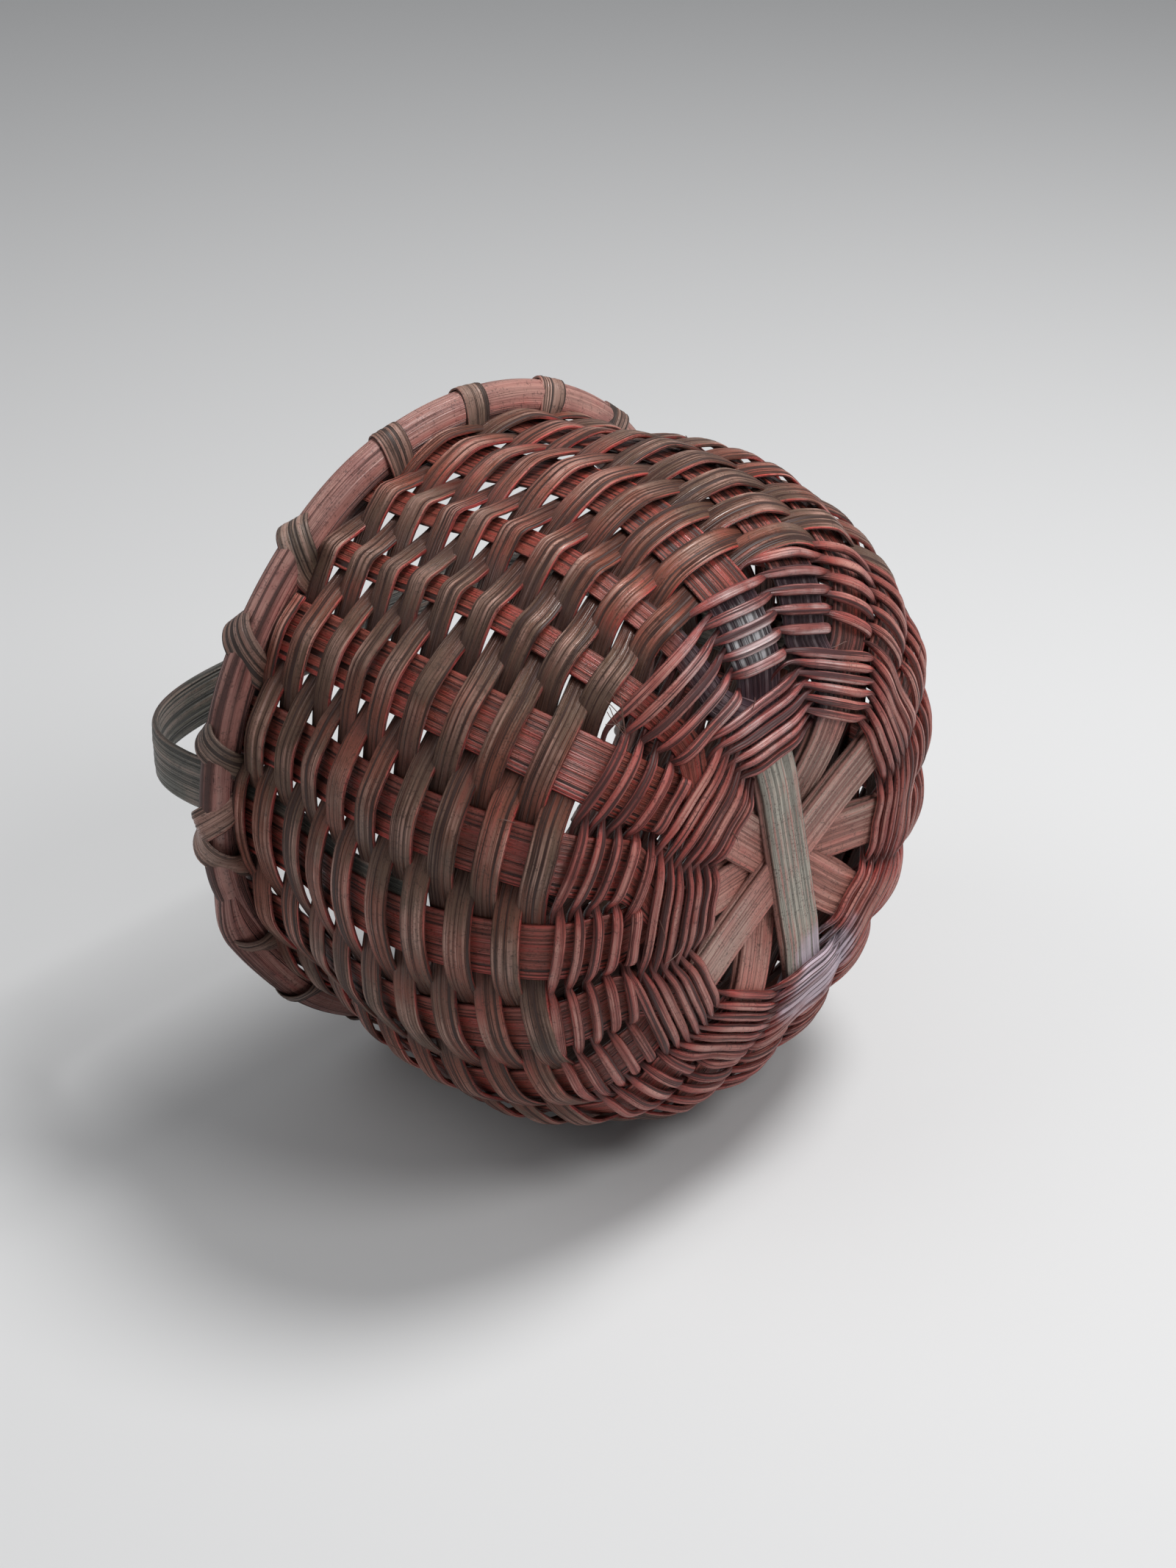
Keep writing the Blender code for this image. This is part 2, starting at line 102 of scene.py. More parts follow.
# Top row of the twined foot over one turn, as azimuth and millimetres along the wall, and its posts
FOOT_TOP = ((49.0, 39.0), (95.0, 39.8), (142.0, 40.8), (160.0, 38.0), (179.0, 35.8), (198.0, 35.0),
            (216.0, 34.9), (239.0, 36.9), (261.0, 39.3), (280.0, 42.4), (298.0, 43.6), (317.0, 44.0),
            (365.0, 43.8), (409.0, 44.0))
FOOT_POSTS = (9, 104)
FOOT_ROWS = 5
FOOT_ROW_MM = 5.0
FOOT_STROKE_RISE = FOOT_ROW_MM / 4 * MM

# Twining strokes: how far each strand stands off its post, reaches into the gap and holds its width
RING_REACH, FOOT_REACH = 1.4 * MM, 0.7 * MM
GAP_SHARE = 0.72
HELD_SHARE, HELD_WIDTH = 0.95, 0.92
PAIR_FOLLOW, SINGLE_FOLLOW = 0.6, 0.35
PAIR_BULGE, SINGLE_BULGE = 0.1, 1.2
PAIR_TUCK, SINGLE_TUCK = -0.2, 0.5
BEHIND_POST = 0.4 * MM
STRAND_WOBBLE = 0.25

# Weavers: where they start and end, and how they climb and are pushed up by the twined foot
WEAVER_START = 40.0 * MM
WEAVE_TOP = 144.4 * MM
WEAVE_TURNS = 9
CLIMB_AZIMUTH, CLIMB_SPAN, CLIMB_SHARE = 215.3, 36.0, 0.43
WEAVE_PUSH = 4.5 * MM
PUSH_RISE, PUSH_FALL = (226.0, 50.0), (400.0, 70.0)
PUSH_TOP, PUSH_FADE = 84.0 * MM, 44.0 * MM
EDGE_MARGIN = 0.9 * MM
CREST_DEPTH, EDGE_DEPTH = -0.35 * MM, 1.4 * MM
ROW_WOBBLE, LIFT_WOBBLE, SLIP_WOBBLE = 0.5 * MM, 0.3 * MM, 0.5 * MM
BEHIND_STAKE, BEHIND_STRAP = 2.1 * MM, 3.6 * MM
WEAVER_TILT = -0.03
TIP_TAPER = 0.55

# Rim: radii of the outer hoop's flat back and the inner hoop's middle, the hoops' depths and height,
# and the lap of the outer hoop's ends, which spread, narrow and thin
OUTER_HOOP_RADIUS, OUTER_HOOP_DEPTH = 85.6 * MM, 16.2 * MM
INNER_HOOP_RADIUS, INNER_HOOP_DEPTH = 79.9 * MM, 3.0 * MM
HOOP_HEIGHT = 9.0 * MM
HOOP_MIDDLE = RIM_TOP - HOOP_HEIGHT / 2
HOOP_POSTS = 120
HOOP_STEP = 360 / HOOP_POSTS
HOOP_WOBBLE = 0.5 * MM
LAP_AZIMUTH = 156.0
LAP_SPREAD, LAP_NARROWING, LAP_THIN = 0.045, 0.1, 0.12

# Lashings: azimuth under the hoop, and how far each leans on its way over the hoop, in degrees
LASHINGS = ((252.0, 2.0), (270.6, 1.5), (289.1, 3.5), (307.6, 5.0), (326.1, 3.0), (344.6, 6.0), (364.7, 4.0),
            (381.7, 3.0), (400.2, 6.0), (418.7, 5.0), (437.2, 3.0), (455.7, 6.0), (474.2, 4.0), (492.8, 6.0),
            (511.3, 6.0), (530.5, 9.5), (543.6, -8.0), (549.8, 8.0), (566.8, 10.5), (585.4, 9.5))
LASH_BULGE, LASH_HALF, LASH_STEPS = 8.6 * MM, 5.1 * MM, 6
LASH_THICKNESS = 0.8 * MM
LASH_INSIDE, LASH_PIVOT = 77.9 * MM, 82.0 * MM
LASH_CORNER, LASH_SLACK, LASH_DIP = 1.5 * MM, 1.0 * MM, 0.4 * MM
LASH_SKEW = 0.07

# Strap handle: the stakes that its tails lie behind, and its way over the mouth
HANDLE_STAKES = (6, 16)
HANDLE_TAIL_START = 73.0 * MM
STRAP_FOOT = 68.0 * MM
HANDLE_SHIFT = 4.5 * MM
HANDLE_DEPTH = 4.35 * MM
HANDLE_THICKNESS = 1.9 * MM
HANDLE_SWELL = 0.022
HANDLE_STEPS, TAIL_STEPS = 32, 9

# Sections by slot: columns round the strip, squareness, then in metres the ribs' depth and spacing and
# the step along the strip
SECTIONS = {"weaver": (34, 2.8, 0.00026, 0.00075, 0.0019), "twining": (20, 2.2, 0.00018, 0.00060, 0.0010),
            "reed": (76, 14.0, 0.00024, 0.00070, 0.0016), "rim": (48, 2.1, 0.00035, 0.00090, 0.0016),
            "lashing": (40, 8.0, 0.00028, 0.00090, 0.0011), "handle": (56, 7.0, 0.00030, 0.00160, 0.0016)}

# Looks by slot: how much shows of the red dye, the grey-green wash, the wear with its painted highlight and
# the red edges, then the fibres' spacing in metres, the streaks' changes a metre, the grooves' darkness and
# the paint
LOOKS = {"weaver": (0.35, 0.65, 0.70, 0.95, 0.00034, 16.0, 0.86, 0.25),
         "twining": (0.35, 0.25, 0.70, 0.65, 0.00040, 18.0, 0.86, 0.25),
         "reed": (0.55, 0.08, 0.45, 0.50, 0.00036, 9.0, 0.90, 1.0),
         "rim": (0.25, 0.12, 0.50, 0.15, 0.00050, 14.0, 0.75, 0.25),
         "lashing": (0.12, 0.60, 0.60, 0.30, 0.00042, 14.0, 0.86, 0.25),
         "handle": (0.03, 0.50, 0.45, 0.05, 0.00055, 7.0, 0.65, 0.25)}

# Every section: how eased its columns are, its ribs' changes a metre and their fading, its closing seam
EASED_SHARE = 0.55
RIB_CHANGE, RIB_FADE = 14.0, 1.6
SEAM_DISTANCE = 0.002 * MM

# Fibres that stand off: azimuth, millimetres along the wall, length, heading in degrees and lift
LOOSE = ((224.5, 35.0, 8.0, 60, 0.10), (225.5, 36.0, 7.0, 75, 0.05), (226.5, 37.0, 7.5, 52, 0.12),
         (227.4, 38.0, 6.0, 80, 0.05), (228.0, 38.5, 6.5, 65, 0.10), (226.0, 36.5, 5.0, 100, 0.15),
         (225.0, 35.5, 6.0, 40, 0.20), (184.0, 9.0, 7.0, 200, 0.45), (218.0, -7.0, 4.0, 250, 0.5),
         (175.0, 1.0, 9.0, 110, 0.5), (203.0, 51.5, 4.0, 90, 0.5), (250.0, 12.0, 4.0, 30, 0.6),
         (287.0, 17.0, 5.0, 20, 0.5), (332.0, 30.0, 5.0, 140, 0.5), (96.0, 60.0, 5.0, 30, 0.5),
         (20.0, 74.0, 6.0, 160, 0.4), (148.0, 88.0, 5.0, 70, 0.5), (300.0, 108.0, 5.0, 200, 0.4))
FIBRE_RADIUS, FIBRE_DEPTH, FIBRE_BEND, FIBRE_STEPS = 0.11 * MM, 0.6 * MM, 0.25, 8

# Scales of the colour's broad patches, scuffs and specks, in changes a metre
PATCH_SCALE, SCUFF_SCALE, SPECK_SCALE = 26.0, 420.0, 1700.0

# Paint spots on the outside, as azimuth, shift along the tangent and millimetres along the wall
PAINT_SPOT = (266.0, 0.0, 27.0 * MM)
SILVER_SPOT = (262.0, 0.0, 27.0 * MM)
LILAC_SPOT = (426.0, 0.0, 3.0 * MM)

# The floor that the basket lies on touches its side at this azimuth
FLOOR_AZIMUTH = 87.9
UP = Vector((-cos(radians(FLOOR_AZIMUTH)), -sin(radians(FLOOR_AZIMUTH)), 0.0))
FLOOR_DISTANCE = 94.3 * MM
FLOOR_HALF = 3.0
MIDDLE = Vector((0.0, 0.0, 60.0 * MM))

# Camera: its place round the basket, and where it looks, in degrees and metres
CAMERA_AZIMUTH, CAMERA_RADIUS, CAMERA_HEIGHT = 216.69, 0.6128, -0.3758
LOOK_AZIMUTH, LOOK_ELEVATION = 37.09, 36.0
LENS, SENSOR_HEIGHT = 43.2, 24.0

# Lamps: the way from the basket as right, up and forward, then distance, size and power
LAMPS = {"key": ((0.50, 1.35, 0.28), 1.1, 0.4, 8.4),
         "fill": ((-0.9, 0.7, -0.2), 1.2, 1.0, 2.2),
         "front": ((0.8, 0.7, -0.6), 1.0, 0.4, 2.7)}
LAMP_SPREAD = 156.0
SKY, SKY_STRENGTH = (0.80, 0.82, 0.85, 1.0), 0.30


def clamp(value):
    return min(max(value, 0.0), 1.0)


def smooth(value):
    value = clamp(value)
    return value * value * (3 - 2 * value)


def mix(start, end, share):
    return start + (end - start) * share


def hermite(points, lengths, steps):
    """Samples of a smooth curve through the rows of points, steps between each two."""
    points = np.asarray(points, float)
    spans = np.diff(lengths)[:, None]
    chords = np.diff(points, axis=0) / spans
    slopes = np.empty_like(points)
    slopes[1:-1] = (chords[:-1] * spans[1:] + chords[1:] * spans[:-1]) / (spans[:-1] + spans[1:])
    slopes[0], slopes[-1] = chords[0], chords[-1]
    rows = []
    for k, count in enumerate(steps):
        t = (np.arange(count) / count)[:, None]
        start, end = 2 * t ** 3 - 3 * t ** 2 + 1, 3 * t ** 2 - 2 * t ** 3
        leave, arrive = t ** 3 - 2 * t ** 2 + t, t ** 3 - t ** 2
        rows.append(points[k] * start + slopes[k] * spans[k] * leave
                    + points[k + 1] * end + slopes[k + 1] * spans[k] * arrive)
    rows.append(points[-1:])
    return np.vstack(rows)


def measure(points):
    """The length so far at each point."""
    return np.concatenate(([0.0], np.cumsum(np.linalg.norm(np.diff(points, axis=0), axis=1))))


def build_outline():
    points = np.array(OUTLINE_MM) * MM
    start = np.array([[FOOT_RADIUS - LEAD_IN, 0.0]])
    whole = np.vstack((start, points))
    curve = hermite(whole, measure(whole), [OUTLINE_STEPS] * (len(whole) - 1))[OUTLINE_STEPS:]
    return measure(curve), curve


OUTLINE_LENGTHS, OUTLINE = build_outline()
WALL_LENGTH = float(OUTLINE_LENGTHS[-1])


def outline_at(arc):
    """The outer face's radius and height at a length from the foot, flat inside it."""
    if arc <= 0:
        return Vector((FOOT_RADIUS + arc, 0.0))
    index = min(bisect_right(OUTLINE_LENGTHS, arc), len(OUTLINE) - 1)
    share = (arc - OUTLINE_LENGTHS[index - 1]) / (OUTLINE_LENGTHS[index] - OUTLINE_LENGTHS[index - 1])
    return Vector(OUTLINE[index - 1]).lerp(Vector(OUTLINE[index]), share)


def outline_direction(arc):
    ahead, behind = outline_at(min(arc + SLOPE_REACH, WALL_LENGTH)), outline_at(arc - SLOPE_REACH)
    return (ahead - behind).normalized()


def place(azimuth, lateral, radius, height):
    """A point from an azimuth in degrees, a shift along the tangent, a radius and a height."""
    east, north = cos(radians(azimuth)), sin(radians(azimuth))
    return Vector((radius * east - lateral * north, radius * north + lateral * east, height))


def wall_point(azimuth, lateral, arc, depth):
    spot, along = outline_at(arc), outline_direction(arc)
    return place(azimuth, lateral, spot.x - along.y * depth, spot.y + along.x * depth)


def wall_up(azimuth, arc):
    along = outline_direction(arc)
    return place(azimuth, 0.0, along.x, along.y)


def wall_out(azimuth, arc):
    along = outline_direction(arc)
    return place(azimuth, 0.0, along.y, -along.x)


def tangent(azimuth):
    return place(azimuth, 1.0, 0.0, 0.0)


def wobble(seed, value):
    """A smooth pseudo-random number from -1 to 1."""
    return (sin(value * 1.7 + seed * 2.3) + sin(value * 0.83 + seed * 5.1) + sin(value * 2.9 + seed)) / 3


def size_property(name, description, millimetres):
    return FloatProperty(name=name, description=description, default=millimetres * MM, unit="LENGTH")


def colour_property(name, description, *colour):
    return FloatVectorProperty(name=name, description=description, default=colour, subtype="COLOR")


class BasketSizes(bpy.types.PropertyGroup):
    reed_width: size_property("Reed width", "Width of the flat reeds", 15.9)
    reed_thickness: size_property("Reed thickness", "Thickness of the flat reeds", 1.1)
    weaver_width: size_property("Weaver width", "Width of the two wall weavers", 7.2)
    weaver_thickness: size_property("Weaver thickness", "Thickness of the two wall weavers", 1.6)
    weaver_pitch: size_property("Row height", "Distance between neighbouring rows of weaving", 6.0)
    ring_width: size_property("Ring strand width", "Width of the strands of the base ring", 2.5)
    strand_width: size_property("Foot strand width", "Width of the strands at the wall's foot", 2.9)
    strand_thickness: size_property("Strand thickness", "Thickness of the twining strands", 1.8)
    lash_width: size_property("Lashing width", "Width of the strip that binds the rim", 8.0)
    handle_width: size_property("Handle width", "Width of the strap handle", 15.9)
    handle_rise: size_property("Handle rise", "Height of the handle over the rim", 46.0)


class BasketColours(bpy.types.PropertyGroup):
    weaver: colour_property("Weavers", "Main colour of the weavers", 0.240, 0.072, 0.042)
    reed: colour_property("Reeds", "Main colour of the flat reeds", 0.275, 0.066, 0.046)
    spoke: colour_property("Spokes", "Colour of the bare spokes on the base", 0.540, 0.225, 0.178)
    grey_spoke: colour_property("Grey spoke", "Colour of the outermost bare spoke", 0.480, 0.440, 0.370)
    strand: colour_property("Strands", "Main colour of the twining", 0.370, 0.076, 0.062)
    fibre: colour_property("Fibres", "Colour of the loose fibres", 0.420, 0.200, 0.150)
    rim: colour_property("Rim", "Main colour of the rim hoops", 0.265, 0.112, 0.096)
    lashing: colour_property("Lashing", "Main colour of the rim's lashing", 0.240, 0.130, 0.098)
    handle: colour_property("Handle", "Main colour of the handle", 0.120, 0.115, 0.098)
    red: colour_property("Red dye", "Dye that shows on edges and in streaks", 0.460, 0.040, 0.034)
    green: colour_property("Grey-green wash", "Wash in broad patches", 0.078, 0.075, 0.050)
    # The scuff colour lightens the crests for wear and also paints their highlight
    scuff: colour_property("Scuff", "Colour of worn crests", 0.690, 0.450, 0.370)
    plum: colour_property("Plum", "Dark paint on the wall's foot", 0.045, 0.020, 0.030)
    silver: colour_property("Silver", "Bright ridges in the dark spot", 0.88, 0.88, 0.90)
    lilac: colour_property("Lilac", "Dusty spot on the base ring", 0.62, 0.52, 0.60)
    floor: colour_property("Floor", "Colour of the floor", 0.60, 0.60, 0.60)


def sizes():
    return bpy.context.scene.basket_sizes


def colours():
    return bpy.context.scene.basket_colours


def stake_width(stake):
    return sizes().reed_width * (0.5 if stake in (0, STAKES - 1) else 1.0)


def stake_azimuths():
    """Azimuths of the stakes, with equal gaps between their edges at the belly."""
    widths = [degrees(stake_width(stake) / SPACING_RADIUS) for stake in range(STAKES)]
    gap = (360 - sum(widths)) / STAKES
    azimuths = [SPLIT_AZIMUTH + (gap + widths[0]) / 2]
    for before, after in zip(widths, widths[1:]):
        azimuths.append(azimuths[-1] + (before + after) / 2 + gap)
    return azimuths


def end_azimuth(end):
    return SPOKE_AZIMUTH + end * 180 / SPOKES


def reed_azimuth(stake, arc):
    share = smooth((arc - FAN_START) / (FAN_END - FAN_START))
    return mix(end_azimuth(stake // 2), stake_azimuths()[stake], share)


def reed_width(stake, arc):
    return mix(sizes().reed_width, stake_width(stake), clamp(arc / FAN_END))


def spoke_share(arc):
    """How much of its width a reed shows: a little less on the base than on the wall."""
    return mix(SPOKE_SHARE, 1.0, smooth((arc - SPOKE_END) / SPOKE_GROWTH))


def reed_side(stake):
    """1 for the inner reed of a pair and -1 for the outer one."""
    inner_end = stake // 2 < SPOKES
    return 1 if (stake % 2 == 1) == inner_end else -1


def reed_depth(stake, arc):
    return REED_DEPTH + reed_side(stake) * PAIR_OFFSET * (1 - smooth((arc - PAIR_END) / PAIR_TURN))


def added(name, data):
    """A new object in the scene."""
    made = bpy.data.objects.new(name, data)
    bpy.context.scene.collection.objects.link(made)
    return made


def spine(rows, step):
    """A line of points that carries the strip's half width, facing, length and exposure.

    Each row is a centre, a half width, a facing and, unless it is 1, an exposure, which the materials turn
    into crest wear, a painted highlight and painted shade.
    """
    rows = np.array([(*spot, *half, *face, *(crest or [1.0])) for spot, half, face, *crest in rows], float)
    lengths = measure(rows[:, 0:3])
    steps = [max(2, int(round(span / step))) for span in np.diff(lengths)]
    rows = hermite(rows, lengths, steps)
    tip_reach, tip_width = 0.15, 0.8
    first, last = rows[:1].copy(), rows[-1:].copy()
    first[:, 0:3] -= (rows[1, 0:3] - rows[0, 0:3]) * tip_reach
    last[:, 0:3] += (rows[-1, 0:3] - rows[-2, 0:3]) * tip_reach
    for tip in (first, last):
        tip[:, 3:6] *= tip_width
        tip[:, 6:9] = 0.0
    rows = np.vstack((first, rows, last))
    mesh = bpy.data.meshes.new("strip_line")
    count = len(rows)
    mesh.from_pydata(rows[:, 0:3].tolist(), [(k, k + 1) for k in range(count - 1)], [])
    for label, columns in (("half", rows[:, 3:6]), ("face", rows[:, 6:9])):
        layer = mesh.attributes.new(label, "FLOAT_VECTOR", "POINT")
        layer.data.foreach_set("vector", columns.ravel())
    for label, column in (("along", measure(rows[:, 0:3])), ("crest", rows[:, 9])):
        layer = mesh.attributes.new(label, "FLOAT", "POINT")
        layer.data.foreach_set("value", column)
    return added("strip_line", mesh)


class Tree:
    """Adds nodes to a node tree by short calls."""

    def __init__(self, tree):
        self.tree = tree

    def add(self, kind, inputs=(), **settings):
        node = self.tree.nodes.new(kind)
        for key, value in settings.items():
            setattr(node, key, value)
        for key, value in dict(inputs).items():
            socket = node.inputs[key]
            if isinstance(value, bpy.types.NodeSocket):
                self.tree.links.new(value, socket)
            else:
                socket.default_value = value
        return node

    def out(self, kind, inputs=(), **settings):
        return self.add(kind, inputs, **settings).outputs[0]

    def math(self, operation, first, second=0.0, third=0.0):
        return self.out("ShaderNodeMath", {0: first, 1: second, 2: third}, operation=operation)

    def vector(self, operation, first, second=(0, 0, 0)):
        return self.out("ShaderNodeVectorMath", {0: first, 1: second}, operation=operation)

    def times(self, *values):
        """The product of two or more values."""
        result = values[0]
        for value in values[1:]:
            result = self.math("MULTIPLY", result, value)
        return result

    def length(self, operation, first, second=(0, 0, 0)):
        return self.add("ShaderNodeVectorMath", {0: first, 1: second}, operation=operation).outputs["Value"]

    def scale(self, vector, factor):
        return self.out("ShaderNodeVectorMath", {0: vector, "Scale": factor}, operation="SCALE")

    def link(self, output, target):
        self.tree.links.new(output, target)


# Node groups: the kinds of their sockets, and the inputs of each with their defaults
SOCKETS = {int: "NodeSocketInt", float: "NodeSocketFloat", str: "NodeSocketMaterial"}
STRIP_INPUTS = (("Columns", 24), ("Thickness", 0.002), ("Squareness", 2.4), ("Back", 1.0),
                ("Rib depth", 0.0002), ("Rib spacing", 0.001), ("Seed", 0.0), ("Finish", "material"))
FIBRE_INPUTS = (("Radius", 0.0001), ("Finish", "material"))
GRAIN_INPUTS = (("Fibre spacing", 0.0004), ("Streak", 22.0), ("Patch scale", PATCH_SCALE), ("Seed", 0.0))


def node_group(name, kind, inputs, build):
    """The node group of this name, which is built when it isn't there yet."""
    if name in bpy.data.node_groups:
        return bpy.data.node_groups[name]
    tree = bpy.data.node_groups.new(name, kind)
    sockets = tree.interface
    if kind == "GeometryNodeTree":
        sockets.new_socket("Geometry", in_out="INPUT", socket_type="NodeSocketGeometry")
    for label, default in inputs:
        socket = sockets.new_socket(label, in_out="INPUT", socket_type=SOCKETS[type(default)])
        if not isinstance(default, str):
            socket.default_value = default
    t = Tree(tree)
    results = build(t, t.add("NodeGroupInput").outputs)
    for label in results:
        socket_type = "NodeSocketGeometry" if label == "Geometry" else "NodeSocketFloat"
        sockets.new_socket(label, in_out="OUTPUT", socket_type=socket_type)
    ends = t.add("NodeGroupOutput").inputs
    for label, value in results.items():
        t.link(value, ends[label])
    return tree


def finished(t, geometry, material):
    """Realize Instances and Set Material, which every geometry tree ends in."""
    whole = t.out("GeometryNodeRealizeInstances", {"Geometry": geometry})
    return {"Geometry": t.out("GeometryNodeSetMaterial", {"Geometry": whole, "Material": material})}


def build_strip(t, given):
    """A spine becomes a closed strip with a rounded section and ribs."""
    line = given["Geometry"]
    line_size = t.add("GeometryNodeAttributeDomainSize", {"Geometry": line}, component="MESH")
    count = line_size.outputs["Point Count"]
    columns = t.math("ADD", given["Columns"], 1.0)
    grid = t.add("GeometryNodeMeshGrid",
                 {"Size X": 1.0, "Size Y": 1.0, "Vertices X": count, "Vertices Y": columns})
    here = t.out("GeometryNodeInputPosition")
    place_on = t.add("ShaderNodeSeparateXYZ", {0: here}).outputs
    row = t.math("ROUND", t.times(t.math("ADD", place_on["X"], 0.5), t.math("SUBTRACT", count, 1.0)))
    turn = t.math("ADD", place_on["Y"], 0.5)

    def sample(field, kind):
        return t.out("GeometryNodeSampleIndex", {"Geometry": line, "Value": field, "Index": row},
                     data_type=kind, domain="POINT")

    def stored(name, kind):
        attribute = t.add("GeometryNodeInputNamedAttribute", {"Name": name}, data_type=kind)
        return sample(attribute.outputs[0], kind)

    spot = sample(here, "FLOAT_VECTOR")
    half, facing = stored("half", "FLOAT_VECTOR"), stored("face", "FLOAT_VECTOR")
    along, crest = stored("along", "FLOAT"), stored("crest", "FLOAT")

    # Once round the section: across runs from edge to edge and back, side is 1 on the front and -1 behind
    front = t.math("LESS_THAN", turn, 0.5)
    side = t.math("MULTIPLY_ADD", front, 2.0, -1.0)
    ramp = t.math("SUBTRACT", t.math("ABSOLUTE", t.math("MULTIPLY_ADD", turn, 4.0, -2.0)), 1.0)
    eased = t.math("SINE", t.times(ramp, pi / 2))
    across = t.math("ADD", t.times(ramp, 1 - EASED_SHARE), t.times(eased, EASED_SHARE))
    inside = t.math("SUBTRACT", 1.0, t.math("POWER", t.math("ABSOLUTE", across), given["Squareness"]))
    height = t.math("SQRT", t.math("MAXIMUM", inside, 0.0))
    back = t.math("ADD", front, t.times(t.math("SUBTRACT", 1.0, front), given["Back"]))
    lift = t.times(t.times(height, side, back), t.times(given["Thickness"], 0.5))

    # Ribs along the strip, which fade towards its edges
    width = t.length("LENGTH", half)
    metres = t.times(across, width)
    ribs = t.out("ShaderNodeCombineXYZ", {
        0: t.math("DIVIDE", metres, given["Rib spacing"]), 1: t.times(along, RIB_CHANGE),
        2: t.math("ADD", t.times(side, 3.0), given["Seed"])})
    noise = t.out("ShaderNodeTexNoise", {"Vector": ribs, "Scale": 1.0, "Detail": 1.5, "Roughness": 0.5},
                  noise_dimensions="3D")
    rib = t.times(t.math("SUBTRACT", noise, 0.5), given["Rib depth"], 2.0)
    rib = t.times(rib, side, t.math("MINIMUM", t.times(height, RIB_FADE), 1.0))
    middle = t.vector("ADD", spot, t.scale(half, across))
    move = t.vector("ADD", middle, t.scale(facing, t.math("ADD", lift, rib)))
    mark = t.out("ShaderNodeCombineXYZ", {0: metres, 1: along, 2: side})
    marked = grid.outputs["Mesh"]
    for label, value, kind in (("strip", mark, "FLOAT_VECTOR"), ("crest", crest, "FLOAT"),
                               ("edge", across, "FLOAT")):
        marked = t.out("GeometryNodeStoreNamedAttribute",
                       {"Geometry": marked, "Name": label, "Value": value}, data_type=kind, domain="POINT")
    moved = t.out("GeometryNodeSetPosition", {"Geometry": marked, "Position": move})
    merged = t.out("GeometryNodeMergeByDistance", {"Geometry": moved, "Distance": SEAM_DISTANCE})
    soft = t.out("GeometryNodeSetShadeSmooth", {"Geometry": merged, "Shade Smooth": True})
    return finished(t, soft, given["Finish"])


def shaped(name, line, tree, values):
    """The finished mesh that a node tree makes of a line."""
    modifier = line.modifiers.new(tree.name, "NODES")
    modifier.node_group = tree
    for item in tree.interface.items_tree:
        if item.in_out == "INPUT" and item.name in values:
            modifier[item.identifier] = values[item.name]
    mesh = bpy.data.meshes.new_from_object(line.evaluated_get(bpy.context.evaluated_depsgraph_get()))
    mesh.name = name
    spare = line.data
    bpy.data.objects.remove(line)
    bpy.data.meshes.remove(spare)
    return added(name, mesh)


def take_place(piece, slot, *nodes):
    """The piece rides on the basket's body and stands for its CAD nodes."""
    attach(piece, "root")
    if nodes:
        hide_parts(*nodes)


def strip(name, rows, slot, thickness, finish, seed, node, back=1.0):
    """A strip along a spine's rows, in the place of its CAD node."""
    columns, squareness, rib_depth, rib_spacing, step = SECTIONS[slot]
    tree = node_group("Reed strip", "GeometryNodeTree", STRIP_INPUTS, build_strip)
    piece = shaped(name, spine(rows, step), tree, {
        "Columns": columns, "Thickness": thickness, "Squareness": squareness, "Back": back,
        "Rib depth": rib_depth, "Rib spacing": rib_spacing, "Seed": seed, "Finish": finish})
    take_place(piece, slot, node)


